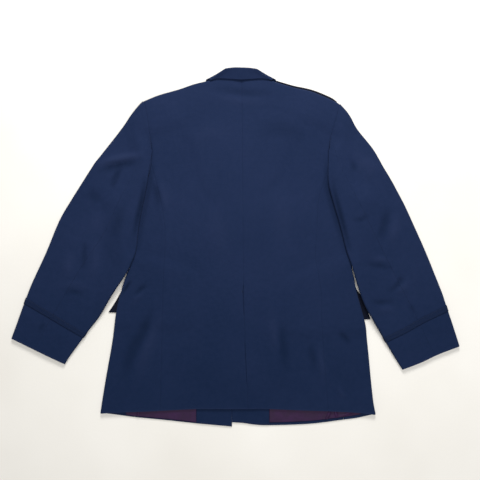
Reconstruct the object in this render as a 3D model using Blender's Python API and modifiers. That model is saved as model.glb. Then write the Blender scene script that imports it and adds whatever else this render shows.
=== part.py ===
"""A service-dress coat laid face down with its sleeves spread: every cut piece is its own cloth wall.

The coat lies on the plane z = 0, x runs to the wearer's right, y towards the collar, and the origin is
under the middle of its outline. Tables are in millimetres, and each mesh is scaled to metres once.
"""

import math

import bmesh
import bpy
import numpy as np

MM = 0.001

# Cloth and how its layers lie on each other
WALL = 1.8
SEAM_GAP = 0.3
ARMHOLE_GAP = 0.6
RESTING_GAP = 1.0  # under a sleeve or collar that lies over another panel
LAYER_STEP = 5.7  # from the middle of the under layer's wall to the middle of the upper layer's
FLOOR_LAYER = WALL / 2
FOLD_RADIUS = LAYER_STEP / 2
FOLD_ANGLES = (54, 18, -18, -54)
TUCKED_LIFT = WALL + 2 * SEAM_GAP  # a layer over one tucked piece of cloth
STRAP_WALL = 2.4
STRAP_LIFT = STRAP_WALL + 2 * SEAM_GAP
BUTTON_RADIUS = 10.0
BUTTON_HEIGHT = 3.2
BUTTON_LIFT = BUTTON_HEIGHT + 2 * SEAM_GAP
BACK_OVER_BUTTONS = 2.6
LINING_WALL = 1.2
UNDERLAP_WALL = 1.6
BRAID_WALL = 1.2
BRAID_GAP = 0.45
NECK_EDGE = 0.2  # share of the fold's radius by which a plain neck edge runs on
CORNER_POWER = 12  # how quickly a line leaves a corner that it is drawn to
SHOULDER_RISE = 5.0
SHOULDER_SPREAD = 55.0

# Outlines of each side: x, y from the middle of the laid coat
SIDES = {
    "left": {
        "sign": -1,
        "shoulder": [(-50, 386), (-67, 379.5), (-97, 372.5), (-130, 362), (-176, 349), (-211, 334)],
        "armhole": [(-211, 334), (-207, 318), (-203, 295), (-199, 260), (-194, 224)],
        "underarm": [(-194, 224), (-196, 190), (-206, 158), (-230, 122), (-264, 100)],
        "front_armhole": [(-211, 334), (-264, 100)],
        "back_seam": [(-196, 190), (-180, 130), (-168, 70), (-164, 18), (-169, -110), (-172, -245),
                      (-176, -380)],
        "side": [(-264, 100), (-255, 30), (-243, -40), (-239, -77), (-261, -117), (-276, -150), (-287, -217),
                 (-299, -281), (-310, -356), (-313, -383)],
        "side_seam": [(-248.2, 165.5), (-208, 60), (-182, -40), (-190, -117), (-215, -250), (-235, -393)],
        "front_edge": [(-9, -415.5), (-9, -180), (-8, 60)],
        "roll_line": [(-8, 60), (-20, 200), (-33, 337)],
        "neck": [(-33, 337), (-54, 362), (-50, 386)],
        "back_neck": [(14, 398), (-30, 395), (-50, 386)],
        "back_hem": [(28, -376), (-10, -376), (-92, -376), (-176, -380)],
        "side_hem": [(-176, -380), (-227, -381), (-313, -383)],
        "front_hem": [(-9, -415.5), (-92, -408), (-161, -400), (-235, -393)],
        "under_hem": [(-235, -393), (-283, -387), (-313, -383)],
        "sleeve_outer": [(-211, 334), (-218, 330), (-227, 322), (-242, 303), (-268, 268), (-292, 236),
                         (-315, 207), (-334, 182), (-373, 117), (-406, 62), (-440, -17), (-476, -91),
                         (-519, -213)],
        "sleeve_inner": [(-191.4, 224), (-199, 182), (-210, 117), (-224, 47), (-231, -10), (-246, -34),
                         (-256, -61), (-275, -94), (-294, -122), (-320, -165), (-346, -200), (-384, -251),
                         (-397, -272)],
        "cuff": [(-519, -213), (-458, -243), (-397, -272)],
        "strap": [(-94, 371), (-130, 357), (-176, 344), (-194, 337)],
        "lapel": [(-86, 322), (-98, 300), (-58, 190), (-12, 66)],
        "flap": [(-249, -59), (-265, -105), (-278, -129), (-296, -153), (-120, -158), (-115, -84)],
        "hem_turn": 3.0,
        "lining": (-92, -255),
        "facing": (-10, -91),
    },
    "right": {
        "sign": 1,
        "shoulder": [(75, 385.5), (91, 379.5), (135, 364), (170, 357), (195, 349), (221, 337), (237, 328)],
        "armhole": [(237, 328), (234, 306), (223, 267), (218, 245), (216, 224)],
        "underarm": [(216, 224), (218, 190), (228, 158), (250, 122), (281, 100)],
        "front_armhole": [(237, 328), (281, 100)],
        "back_seam": [(218, 190), (203, 145), (191, 103), (187, 25), (184, -24), (191, -67), (197, -110),
                      (199, -181), (209, -316), (214, -381)],
        "side": [(281, 100), (274, 30), (266, -40), (272, -75), (278, -105), (291, -140), (300, -180),
                 (303, -217), (309, -281), (316, -356), (323, -386)],
        "side_seam": [(267.6, 163.7), (227, 60), (206, -40), (222, -120), (240, -250), (250, -399)],
        "front_edge": [(-6, -406), (-6, -180), (-5, 60)],
        "roll_line": [(-5, 60), (30, 200), (58, 338)],
        "neck": [(58, 338), (79, 362), (75, 385.5)],
        "back_neck": [(14, 398), (55, 395), (75, 385.5)],
        "back_hem": [(28, -376), (77, -376), (149, -379), (214, -381)],
        "side_hem": [(214, -381), (270, -384), (323, -386)],
        "front_hem": [(-6, -406), (19, -406), (39, -411), (78, -413), (172, -409), (250, -399)],
        "under_hem": [(250, -399), (283, -395), (323, -387)],
        "sleeve_outer": [(237, 328), (245, 323), (256, 312), (271, 293), (286, 266), (319, 224), (344, 182),
                         (369, 139), (404, 75), (447, -24), (476, -99), (491, -138), (519, -231)],
        "sleeve_inner": [(213.4, 224), (214, 153), (223, 110), (241, 47), (255, -7), (267, -42), (273, -62),
                         (287, -108), (301, -141), (318, -172), (335, -203), (361, -250), (386, -285)],
        "cuff": [(519, -231), (470, -249), (430, -268), (386, -285)],
        "strap": [(118, 376), (135, 371), (170, 363), (195, 355), (222, 343)],
        "lapel": [(112, 324), (122, 302), (80, 190), (0, 66)],
        "flap": [(268, -72), (281, -105), (294, -130), (310, -170), (140, -176), (136, -100)],
        "hem_turn": 7.0,
        "lining": (78, 290),
        "facing": (-5, 77),
    },
}

# Shares of a sleeve: rows run from the armhole to the cuff
HIND_SEAM = ((0.0, 0.70), (0.35, 0.58), (0.65, 0.48), (1.0, 0.43))
FORE_SEAM = ((0.0, 0.62), (0.35, 0.45), (1.0, 0.33))
UNDERARM_SHARE = 0.34  # of the sleeve's lower layer at the armhole, from the fold to the underarm
STEP_DOWN_SHARE = 0.12
PRESSED_STEP = 2.4  # between the sleeve's walls where its fold starts on the body
BRAID_ROWS = (0.842, 0.864)
BRAID_LIFT = BRAID_WALL + BRAID_GAP

# Centre back seam and vent
CENTRE_BACK = [(14, 398), (14, 331), (17, 4), (18, -96), (21, -210), (25, -298), (28, -376)]
VENT_TOP = -96.0
VENT_TACK = 12.0  # how far the underlap reaches above the vent's opening
VENT_LAP = 42.0  # from the centre seam under the left back
VENT_SEWN = 14.0  # from the centre seam under the right back, where it is sewn on
VENT_OPENING = 2.4

BUTTON_X = 14.0
BUTTON_ROWS = (52, -48, -148, -248)

STRAP_WIDTH = 45.0
STRAP_SAG = 0.15  # of the shoulder's rise, by which a strap hangs below the front
STRIP_DEPTH = 62.0  # how far the facing and lining reach up from the hem, past the back's edge

# Collar sections from a front end to the middle of the back: free edge, roll and neck seam in plan
COLLAR = {
    "left": {
        "front": (
            {"free": (-88, 330), "roll": (-29, 343), "seam": (-35, 342)},
            {"free": (-88, 352), "roll": (-27, 372), "seam": (-47, 366)},
            {"free": (-71.5, 380), "roll": (-25, 402), "seam": (-44, 389)},
        ),
        "back": (
            {"free": (-58, 383.5), "roll": (-22, 408), "seam": (-38, 401)},
            {"free": (-39, 387.5), "roll": (-5, 412.3), "seam": (-22, 402)},
        ),
    },
    "right": {
        "front": (
            {"free": (112, 332), "roll": (54, 344), "seam": (60, 343)},
            {"free": (112, 354), "roll": (52, 372), "seam": (70.5, 366)},
            {"free": (95.5, 380), "roll": (50, 401), "seam": (69, 389)},
        ),
        "back": (
            {"free": (82, 384), "roll": (46.5, 407.5), "seam": (63, 400.5)},
            {"free": (61, 387.5), "roll": (30, 412), "seam": (46, 402)},
        ),
    },
}
COLLAR_MIDDLE = {"free": (12, 385), "roll": (12, 412.3), "seam": (12, 402.5)}
ROLL_HEIGHT = 19.0
ROLL_DEPTH = 4.4
COLLAR_FOLD_ANGLES = (-60, -20, 20, 60)

# Finishes: base colour, roughness
FINISHES = {
    "serge": ((0.018, 0.030, 0.078, 1.0), 0.85),
    "braid": ((0.012, 0.019, 0.050, 1.0), 0.7),
    "lining": ((0.065, 0.022, 0.060, 1.0), 0.45),
    "button": ((0.55, 0.56, 0.58, 1.0), 0.35),
}


def clear_scene():
    for obj in list(bpy.data.objects):
        bpy.data.objects.remove(obj)


def collection_named(name):
    group = bpy.data.collections.new(name)
    bpy.context.scene.collection.children.link(group)
    return group


def material_named(name):
    colour, roughness = FINISHES[name]
    material = bpy.data.materials.new(name)
    material.use_nodes = True
    shader = material.node_tree.nodes["Principled BSDF"]
    shader.inputs["Base Color"].default_value = colour
    shader.inputs["Roughness"].default_value = roughness
    shader.inputs["Metallic"].default_value = 1.0 if name == "button" else 0.0
    return material


# Curves in plan, read by the share of their length


def rounded(points, steps=8):
    """The points with a Catmull-Rom curve drawn through them."""
    known = np.array(points, float)
    if len(known) < 3:
        return known
    ends = np.vstack([2 * known[0] - known[1], known, 2 * known[-1] - known[-2]])
    drawn = []
    for a, b, c, d in zip(ends, ends[1:], ends[2:], ends[3:]):
        for t in np.arange(steps) / steps:
            drawn.append(0.5 * (2 * b + (c - a) * t + (2 * a - 5 * b + 4 * c - d) * t**2
                                + (3 * b - 3 * c + d - a) * t**3))
    return np.vstack([drawn, known[-1]])


def curve(points):
    drawn = rounded(points)
    lengths = np.r_[0, np.cumsum(np.hypot(*np.diff(drawn, axis=0).T))]

    def at(share):
        return np.array([np.interp(share * lengths[-1], lengths, drawn[:, k]) for k in range(2)])

    return at


def share_of_point(points, index):
    """Where along its curve a point of the list lies."""
    drawn = rounded(points)
    lengths = np.r_[0, np.cumsum(np.hypot(*np.diff(drawn, axis=0).T))]
    return lengths[index * (len(drawn) - 1) // (len(points) - 1)] / lengths[-1]


def chain(first, second, share):
    """Two curves read as one, the first taking this share of the rows."""

    def at(t):
        return first(t / share) if t < share else second((t - share) / (1 - share))

    return at


def between(start, end):
    return lambda t: (1 - t) * start + t * end


def backwards(line):
    return lambda t: line(1 - t)


def part_of(line, start, end):
    return lambda t: line(start + (end - start) * t)


def outward(line, t, sign):
    """The plan normal of a line that runs towards the hem, pointing away from the body for this sign."""
    along = line(min(t + 0.01, 1)) - line(max(t - 0.01, 0))
    along /= np.hypot(*along)
    return sign * np.array([-along[1], along[0]])


def beside(line, distance, sign):
    return lambda t: line(t) + distance * outward(line, t, sign)


def drawn_to(line, start, end):
    """The line with its two ends bent to these points."""
    shifts = start - line(0), end - line(1)
    return lambda t: line(t) + (1 - t) ** CORNER_POWER * shifts[0] + t**CORNER_POWER * shifts[1]


def patch(top, bottom, left, right):
    """A Coons patch: a plan point for each share down (u) and across (v); its sides fix its corners."""
    top = drawn_to(top, left(0), right(0))
    bottom = drawn_to(bottom, left(1), right(1))

    def at(u, v):
        ruled = (1 - u) * top(v) + u * bottom(v) + (1 - v) * left(u) + v * right(u)
        corners = (1 - u) * ((1 - v) * top(0) + v * top(1)) + u * ((1 - v) * bottom(0) + v * bottom(1))
        return ruled - corners

    return at


# Heights


def fade(distance, full, none):
    """1 up to the full distance, 0 from the none distance on, smooth between."""
    t = min(max((none - distance) / (none - full), 0), 1)
    return t * t * (3 - 2 * t)


def distance_to(outline, point):
    """How far a plan point is outside a closed outline; 0 inside it."""
    corners = np.array(outline, float)
    ends = np.roll(corners, -1, axis=0)
    inside = False
    nearest = math.inf
    for a, b in zip(corners, ends):
        if (a[1] > point[1]) != (b[1] > point[1]):
            if point[0] < a[0] + (b[0] - a[0]) * (point[1] - a[1]) / (b[1] - a[1]):
                inside = not inside
        share = np.clip(np.dot(point - a, b - a) / np.dot(b - a, b - a), 0, 1)
        nearest = min(nearest, np.hypot(*(point - a - share * (b - a))))
    return 0.0 if inside else nearest


def collar_front(side):
    rows = COLLAR[side]["front"]
    return [row["free"] for row in rows] + [row["roll"] for row in reversed(rows)]


def strap_outline(side):
    edge = SIDES[side]["strap"]
    inner = [(x, y - STRAP_WIDTH) for x, y in reversed(edge)]
    return list(edge) + inner


TUCKED = [(SIDES[side]["lapel"] + SIDES[side]["roll_line"], TUCKED_LIFT) for side in SIDES]
TUCKED += [(SIDES[side]["flap"], TUCKED_LIFT) for side in SIDES]
TUCKED += [(collar_front(side), TUCKED_LIFT) for side in SIDES]
TUCKED += [(strap_outline(side), STRAP_LIFT) for side in SIDES]
BUTTON_BAND = [(BUTTON_X - 8, BUTTON_ROWS[0] + 8), (BUTTON_X + 8, BUTTON_ROWS[0] + 8),
               (BUTTON_X + 8, BUTTON_ROWS[-1] - 8), (BUTTON_X - 8, BUTTON_ROWS[-1] - 8)]
BODY_OUTLINE = {}
for side_name, table in SIDES.items():
    BODY_OUTLINE[side_name] = (list(rounded(table["armhole"])) + list(rounded(table["underarm"]))[1:]
                               + list(rounded(table["side"]))[1:] + [(0, -380), (0, 334)])


def shoulder_rise(point):
    rise = 0.0
    for table in SIDES.values():
        away = np.hypot(*(point - np.array(table["armhole"][0])))
        rise = max(rise, SHOULDER_RISE * math.exp(-((away / SHOULDER_SPREAD) ** 2)))
    return rise


def tucked_lift(point):
    """How far the coat is held up by the cloth tucked beneath its front."""
    return max(height * fade(distance_to(outline, point), 14, 46) for outline, height in TUCKED)


def front_height(point):
    buttons = BUTTON_LIFT * fade(distance_to(BUTTON_BAND, point), 16, 44)
    return FLOOR_LAYER + max(tucked_lift(point), buttons) + shoulder_rise(point)


def back_height(point):
    buttons = BACK_OVER_BUTTONS * fade(distance_to(BUTTON_BAND, point), 40, 120)
    return FLOOR_LAYER + LAYER_STEP + max(tucked_lift(point), buttons) + shoulder_rise(point)


# Sheets: a grid of points becomes a cloth wall


def sheet(name, rows, wall, finish, group, closed=False):
    """One solid from rows of 3-D points; a closed sheet joins its last column to its first."""
    points = np.array(rows, float) * MM
    down, across = points.shape[:2]
    shape = bmesh.new()
    bmesh.ops.create_grid(shape, x_segments=across - 1, y_segments=down - 1, size=1)
    shape.verts.ensure_lookup_table()
    for vertex, place in zip(shape.verts, points.reshape(-1, 3)):
        vertex.co = place
    if closed:
        bmesh.ops.remove_doubles(shape, verts=shape.verts, dist=1e-6)
    mesh = bpy.data.meshes.new(name)
    shape.to_mesh(mesh)
    shape.free()
    mesh.shade_smooth()
    obj = bpy.data.objects.new(name, mesh)
    group.objects.link(obj)
    solidify = obj.modifiers.new("cloth", "SOLIDIFY")
    solidify.thickness = wall * MM
    solidify.offset = 0
    obj.data.materials.append(finish)
    return obj


def raised_rows(plan, height, downs, acrosses):
    """Rows of 3-D points of a patch under a height function."""
    return [[(*plan(u, v), height(plan(u, v))) for v in acrosses] for u in downs]


def spread(start, end, count):
    return list(np.linspace(start, end, count))


def fold_arc(upper_end, lower_end, normal):
    """The points round a fold, from the end of the upper layer to the start of the lower one."""
    upper_end, lower_end = np.array(upper_end), np.array(lower_end)
    middle = (upper_end + lower_end) / 2
    radius = (upper_end[2] - lower_end[2]) / 2
    arc = []
    for angle in map(math.radians, FOLD_ANGLES):
        reach = radius * math.cos(angle)
        share = (1 - math.sin(angle)) / 2
        plan = (1 - share) * upper_end[:2] + share * lower_end[:2] + reach * np.array(normal)
        arc.append((*plan, middle[2] + radius * math.sin(angle)))
    return arc


def rounded_top(rows, normals, over):
    """Rows added above the first one, where a panel turns down (over) or up to the shoulder seam."""
    added = []
    for angle in (8, 32, 60):
        reach = FOLD_RADIUS * math.cos(math.radians(angle))
        drop = FOLD_RADIUS * (1 - math.sin(math.radians(angle)))
        row = []
        for point, (normal, turned) in zip(rows[0], normals):
            plan = np.array(point[:2]) + reach * max(turned, NECK_EDGE) * normal
            row.append((*plan, point[2] + (-drop if over else drop) * turned))
        added.append(row)
    return added + rows


# Body panels

SEAM_ROWS = 16  # rows of points down a long seam, the same on both of its panels
EDGE_SHARE = 0.025  # of the armhole, which the shoulder's fold takes up
ARMHOLE_SHARES = [0, 0.14, 0.28, 0.42, 0.56, 0.70, 0.80, 0.90, 1.0]  # shared by the back and the sleeve
FRONT_SHARE = 0.72  # of the front armhole that the front panel takes, the side panel having the rest


def shoulder_line(side):
    """The shoulder edge from neck to armhole, drawn back by the fold's radius."""
    table = SIDES[side]
    return beside(curve(table["shoulder"]), -FOLD_RADIUS, table["sign"])


def shoulder_top(side, neck, share):
    """The top of a body panel: its neck curve, then the shoulder."""
    return chain(curve(neck), shoulder_line(side), share)


def top_normals(side, top, share, acrosses):
    """For each column its plan normal, and 1 where the panel turns to the shoulder seam."""
    normals = []
    for v in acrosses:
        ahead = top(min(v + 0.02, 1)) - top(max(v - 0.02, 0))
        ahead /= np.hypot(*ahead)
        normal = np.array([-ahead[1], ahead[0]]) * np.sign(ahead[0])
        normals.append((normal, 1.0 if v >= share else 0.0))
    return normals


def vent_gap(y):
    """Half of how far the vent's edges stand apart."""
    return VENT_OPENING / 2 * fade(abs(y - (VENT_TOP - 26)), 4, 30)


def centre_edge(side):
    sign = SIDES[side]["sign"]
    line = curve(CENTRE_BACK)

    def at(t):
        point = line(t)
        opening = vent_gap(point[1]) if side == "left" else 0.0
        return point + np.array([sign * (SEAM_GAP / 2 + opening), 0])

    return at


def back_panel(side, cloth, group):
    table = SIDES[side]
    neck_share, armhole_share, sleeve_share = 0.3, 0.24, 0.76
    top = shoulder_top(side, table["back_neck"], neck_share)
    underarm = part_of(curve(table["underarm"]), 0, share_of_point(table["underarm"], 1))
    armhole = chain(part_of(curve(table["armhole"]), EDGE_SHARE, 1), underarm, sleeve_share)
    side_line = chain(beside(armhole, -ARMHOLE_GAP / 2, table["sign"]),
                      beside(curve(table["back_seam"]), -SEAM_GAP / 2, table["sign"]), armhole_share)
    plan = patch(top, curve(table["back_hem"]), centre_edge(side), side_line)
    downs = [armhole_share * sleeve_share * share for share in ARMHOLE_SHARES]
    downs += [armhole_share * (1 + sleeve_share) / 2] + spread(armhole_share, 1, SEAM_ROWS)
    acrosses = spread(0, neck_share, 4) + spread(neck_share, 1, 8)[1:]
    rows = raised_rows(plan, back_height, downs, acrosses)
    rows = rounded_top(rows, top_normals(side, top, neck_share, acrosses), over=True)
    return sheet(f"back_{side}", rows, WALL, cloth, group)


def side_panel(side, cloth, group):
    """Wraps from the side-back seam over the side fold to the seam under the front."""
    table = SIDES[side]
    sign = table["sign"]
    underarm = beside(curve(table["underarm"]), -ARMHOLE_GAP / 2, sign)
    beneath = beside(curve(table["front_armhole"]), -ARMHOLE_GAP, sign)
    edge = part_of(curve(table["side"]), 0.012, 1)
    edge_in = beside(edge, -FOLD_RADIUS, sign)
    seam_top = share_of_point(table["underarm"], 1)
    upper = patch(part_of(underarm, seam_top, 0.97), curve(table["side_hem"]),
                  beside(curve(table["back_seam"]), SEAM_GAP / 2, sign), edge_in)
    lower = patch(part_of(backwards(beneath), 0.01, 1 - FRONT_SHARE), backwards(curve(table["under_hem"])),
                  edge_in, beside(curve(table["side_seam"]), SEAM_GAP, sign))
    rows = []
    for u in spread(0, 1, SEAM_ROWS):
        top_row = [(*upper(u, v), back_height(upper(u, v))) for v in spread(0, 1, 6)]
        low_row = [(*lower(u, v), front_height(lower(u, v))) for v in spread(0, 1, 4)]
        rows.append(top_row + fold_arc(top_row[-1], low_row[0], outward(edge, u, sign)) + low_row)
    return sheet(f"side_{side}", rows, WALL, cloth, group)


def front_panel(side, cloth, group):
    table = SIDES[side]
    sign = table["sign"]
    neck_share, armhole_share, roll_share = 0.25, 0.24, 0.38
    top = shoulder_top(side, table["neck"], neck_share)
    armhole = part_of(curve(table["front_armhole"]), EDGE_SHARE / 2, FRONT_SHARE)
    side_line = chain(beside(armhole, -ARMHOLE_GAP, sign),
                      beside(curve(table["side_seam"]), -SEAM_GAP, sign), armhole_share)
    front = chain(backwards(curve(table["roll_line"])), backwards(curve(table["front_edge"])), roll_share)
    plan = patch(top, curve(table["front_hem"]), front, side_line)
    downs = spread(0, armhole_share, 7) + spread(armhole_share, 1, SEAM_ROWS)[1:]
    acrosses = spread(0, neck_share, 3) + spread(neck_share, 1, 8)[1:]
    rows = raised_rows(plan, front_height, downs, acrosses)
    rows = rounded_top(rows, top_normals(side, top, neck_share, acrosses), over=False)
    return sheet(f"front_{side}", rows, WALL, cloth, group)


def vent_underlap(cloth, group):
    """The right back's vent extension, which passes under the left back."""
    line = curve(CENTRE_BACK)
    start = next(t for t in np.linspace(0, 1, 400) if line(t)[1] < VENT_TOP + VENT_TACK)
    vent = part_of(line, start, 1 - (1 - start) * 0.006)
    left = lambda t: vent(t) - np.array([VENT_LAP, 0])
    right = lambda t: vent(t) + np.array([VENT_SEWN, 0])
    plan = patch(between(left(0), right(0)), between(left(1), right(1)), left, right)
    drop = WALL / 2 + 2 * SEAM_GAP + UNDERLAP_WALL / 2
    rows = raised_rows(plan, lambda p: back_height(p) - drop, spread(0, 1, 10), spread(0, 1, 4))
    return sheet("vent_underlap", rows, UNDERLAP_WALL, cloth, group)


def hem_strip(name, side, span, wall, inset, finish, group):
    """A strip of facing or lining inside the front, from just above the hem up under the back."""
    table = SIDES[side]
    hem = curve(table["front_hem"] + table["under_hem"][1:])
    shares = np.linspace(0, 1, 400)
    xs = np.array([hem(t)[0] for t in shares])

    def hem_at(x):
        order = np.argsort(xs)
        return hem(np.interp(x, xs[order], shares[order]))

    def edge(reach):
        return lambda v: hem_at(span[0] + (span[1] - span[0]) * v) + np.array([0, reach])

    low, high = edge(inset), edge(STRIP_DEPTH)
    plan = patch(high, low, between(high(0), low(0)), between(high(1), low(1)))
    rise = WALL / 2 + SEAM_GAP + wall / 2
    rows = raised_rows(plan, lambda p: front_height(p) + rise, spread(0, 1, 5), spread(0, 1, 9))
    return sheet(name, rows, wall, finish, group)


# Sleeves


def share_at(table, u):
    return float(np.interp(u, *zip(*table)))


def braid_lift(u):
    return BRAID_LIFT * fade(abs(u - np.mean(BRAID_ROWS)), 0.04, 0.1)


def sleeve_low(side, point, u, w):
    """Middle of the sleeve's lower wall: on the floor, or on the body where it lies over it."""
    body = distance_to(BODY_OUTLINE[side], point)
    on_body = back_height(point) + WALL + RESTING_GAP
    held = fade(body, 4, 46) * fade(w, UNDERARM_SHARE, UNDERARM_SHARE + STEP_DOWN_SHARE)
    on_floor = FLOOR_LAYER + shoulder_rise(point) + braid_lift(u)
    return on_floor + (on_body - on_floor) * held


def sleeve_high(side, point, u, q):
    """Middle of the sleeve's upper wall: level with the back at the seam, then over what lies beneath."""
    body = distance_to(BODY_OUTLINE[side], point)
    air = PRESSED_STEP + (LAYER_STEP - PRESSED_STEP) * (1 - fade(u, 0.02, 0.16))
    on_body = back_height(point) + WALL + RESTING_GAP + air
    seam_side = fade(u, 0.0, 0.10) * fade(q, 0.55, 0.95)
    held = fade(body, 4, 60) * (1 - seam_side)
    on_floor = FLOOR_LAYER + LAYER_STEP + shoulder_rise(point) + braid_lift(u)
    on_floor += (back_height(point) - on_floor) * fade(u, 0.0, 0.12)
    return on_floor + (on_body - on_floor) * held


def sleeve_plans(side):
    table = SIDES[side]
    sign = table["sign"]
    outer = beside(curve(table["sleeve_outer"]), -FOLD_RADIUS, sign)
    inner = beside(curve(table["sleeve_inner"]), FOLD_RADIUS, sign)
    seam = part_of(beside(curve(table["armhole"]), ARMHOLE_GAP / 2, sign), EDGE_SHARE, 1)
    underarm = curve(table["underarm"])
    beneath = part_of(beside(curve(table["front_armhole"]), ARMHOLE_GAP / 2, sign), EDGE_SHARE / 2, 0.99)
    cuff = part_of(curve(table["cuff"]), 0.02, 0.98)
    upper = patch(seam, cuff, drawn_to(outer, seam(0), cuff(0)), drawn_to(inner, seam(1), cuff(1)))
    low_seam = chain(underarm, backwards(beneath), UNDERARM_SHARE)
    lower = patch(low_seam, backwards(cuff), drawn_to(inner, low_seam(0), cuff(1)),
                  drawn_to(outer, low_seam(1), cuff(0)))
    return upper, lower


def sleeve_loop(side, u, shares_up, shares_low):
    """Points of one row: upper layer at some shares from the outer edge, lower layer from the inner one."""
    upper, lower = sleeve_plans(side)
    high = [(*upper(u, q), sleeve_high(side, upper(u, q), u, q)) for q in shares_up]
    low = [(*lower(u, w), sleeve_low(side, lower(u, w), u, w)) for w in shares_low]
    return high, low


def sleeve_normals(side, u):
    table = SIDES[side]
    away = outward(curve(table["sleeve_outer"]), u, table["sign"])
    towards = -outward(curve(table["sleeve_inner"]), u, table["sign"])
    return away, towards


SLEEVE_ROWS = spread(0, 0.16, 6) + spread(0.16, 1, 13)[1:]


def under_sleeve(side, cloth, group):
    rows = []
    for u in SLEEVE_ROWS:
        hind, fore = share_at(HIND_SEAM, u), share_at(FORE_SEAM, u)
        high, low = sleeve_loop(side, u, spread(hind + 0.002, 1, 4), spread(0, fore - 0.002, 8))
        _, towards = sleeve_normals(side, u)
        rows.append(high + fold_arc(high[-1], low[0], towards) + low)
    return sheet(f"under_sleeve_{side}", rows, WALL, cloth, group)


def top_sleeve(side, cloth, group):
    rows = []
    for u in SLEEVE_ROWS:
        hind, fore = share_at(HIND_SEAM, u), share_at(FORE_SEAM, u)
        high, low = sleeve_loop(side, u, spread(0, hind - 0.002, 6), spread(fore + 0.002, 1, 6))
        away, _ = sleeve_normals(side, u)
        rows.append(high[::-1] + fold_arc(high[0], low[-1], away) + low[::-1])
    return sheet(f"top_sleeve_{side}", rows, WALL, cloth, group)


def sleeve_braid(side, finish, group):
    """A flat braid right round the sleeve, above the cuff edge."""
    off = WALL / 2 + BRAID_GAP + BRAID_WALL / 2
    rows = []
    for u in BRAID_ROWS:
        high, low = sleeve_loop(side, u, spread(0, 1, 7), spread(0, 1, 7))
        away, towards = sleeve_normals(side, u)
        high = [(x, y, z + off) for x, y, z in high]
        low = [(x, y, z - off) for x, y, z in low]
        turn_in = fold_arc(high[-1], low[0], towards)
        turn_out = fold_arc(high[0], low[-1], away)[::-1]
        rows.append(high + turn_in + low + turn_out + [high[0]])
    return sheet(f"sleeve_braid_{side}", rows, BRAID_WALL, finish, group, closed=True)


# Collar, straps, lapels, flaps and buttons


def collar_heights(row, back):
    """A section's free edge, both sides of its roll, and its neck seam, with their heights."""
    free, roll, seam = (np.array(row[key], float) for key in ("free", "roll", "seam"))
    if back:
        fall = ROLL_HEIGHT
        stand = ROLL_HEIGHT - ROLL_DEPTH
        edge = FLOOR_LAYER + LAYER_STEP + TUCKED_LIFT + WALL + RESTING_GAP
        neck = back_height(seam)
    else:
        fall = edge = FLOOR_LAYER
        stand = neck = front_height(seam)
    return np.array([*free, edge]), np.array([*roll, fall]), np.array([*roll, stand]), np.array([*seam, neck])


def collar_row(free, fall, stand, seam, away):
    """Points of one section: up the fall, round the roll and down the stand."""
    row = [tuple(free + (fall - free) * t) for t in (0, 1 / 3, 2 / 3, 1)]
    middle = (fall + stand) / 2
    radius = np.linalg.norm(fall - stand) / 2
    up = (fall - stand) / (2 * radius)
    for angle in map(math.radians, (45, 0, -45)):
        point = middle + radius * (math.cos(angle) * np.array([*away, 0]) + math.sin(angle) * up)
        row.append(tuple(point))
    return row + [tuple(stand + (seam - stand) * t) for t in (0, 0.5, 1)]


def collar_fold(low, high, normal):
    """Sections round the fold at the side of the neck, between the last front and the first back one."""
    rows = []
    for angle in map(math.radians, COLLAR_FOLD_ANGLES):
        share = (1 + math.sin(angle)) / 2
        section = []
        for a, b in zip(low, high):
            radius = (b[2] - a[2]) / 2
            point = a + (b - a) * share
            point[:2] += radius * math.cos(angle) * normal
            point[2] = (a[2] + b[2]) / 2 + radius * math.sin(angle)
            section.append(point)
        rows.append(section)
    return rows


def collar_half(side):
    """Sections from a front end to the back, each with the plan direction its roll faces."""
    sign = SIDES[side]["sign"]
    fronts = [collar_heights(row, back=False) for row in COLLAR[side]["front"]]
    backs = [collar_heights(row, back=True) for row in COLLAR[side]["back"]]
    diagonal = backs[0][1][:2] - backs[0][0][:2]
    diagonal /= np.hypot(*diagonal)
    normal = sign * np.array([diagonal[1], -diagonal[0]])
    inward = np.array([-sign, 0.15]) / np.hypot(1, 0.15)
    sections = [(row, inward) for row in fronts]
    for row in collar_fold(fronts[-1], backs[0], normal):
        sections.append((row, diagonal))
    up = np.array([0.0, 1.0])
    turning = (diagonal + up) / np.hypot(*(diagonal + up))
    sections += [(backs[0], turning)] + [(row, up) for row in backs[1:]]
    return [collar_row(*row, away) for row, away in sections]


def collar(cloth, group):
    middle = collar_row(*collar_heights(COLLAR_MIDDLE, back=True), np.array([0.0, 1.0]))
    rows = collar_half("left") + [middle] + collar_half("right")[::-1]
    return sheet("collar", rows, WALL, cloth, group)


def shoulder_strap(side, cloth, group):
    """Pressed flat under the front's shoulder, its outer edge along the shoulder's fold."""
    outer = curve(SIDES[side]["strap"])
    inner = lambda t: outer(t) - np.array([0, STRAP_WIDTH])
    plan = patch(between(outer(0), inner(0)), between(outer(1), inner(1)), outer, inner)
    drop = WALL / 2 + SEAM_GAP + STRAP_WALL / 2
    height = lambda p: front_height(p) - STRAP_SAG * shoulder_rise(p) - drop
    rows = raised_rows(plan, height, spread(0, 1, 9), spread(0, 1, 4))
    return sheet(f"shoulder_strap_{side}", rows, STRAP_WALL, cloth, group)


def lapel(side, cloth, group):
    """Turned out under the front, flat on the floor, from the break of the roll line to the notch."""
    table = SIDES[side]
    notch, point, belly, foot = map(np.array, table["lapel"])
    fold = beside(part_of(curve(table["roll_line"]), 0.06, 0.97), 1.0, table["sign"])
    plan = patch(between(fold(1), notch), between(fold(0), foot), backwards(fold),
                 curve([notch, point, belly, foot]))
    rows = raised_rows(plan, lambda p: FLOOR_LAYER, spread(0, 1, 9), spread(0, 1, 4))
    return sheet(f"lapel_{side}", rows, WALL, cloth, group)


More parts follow.
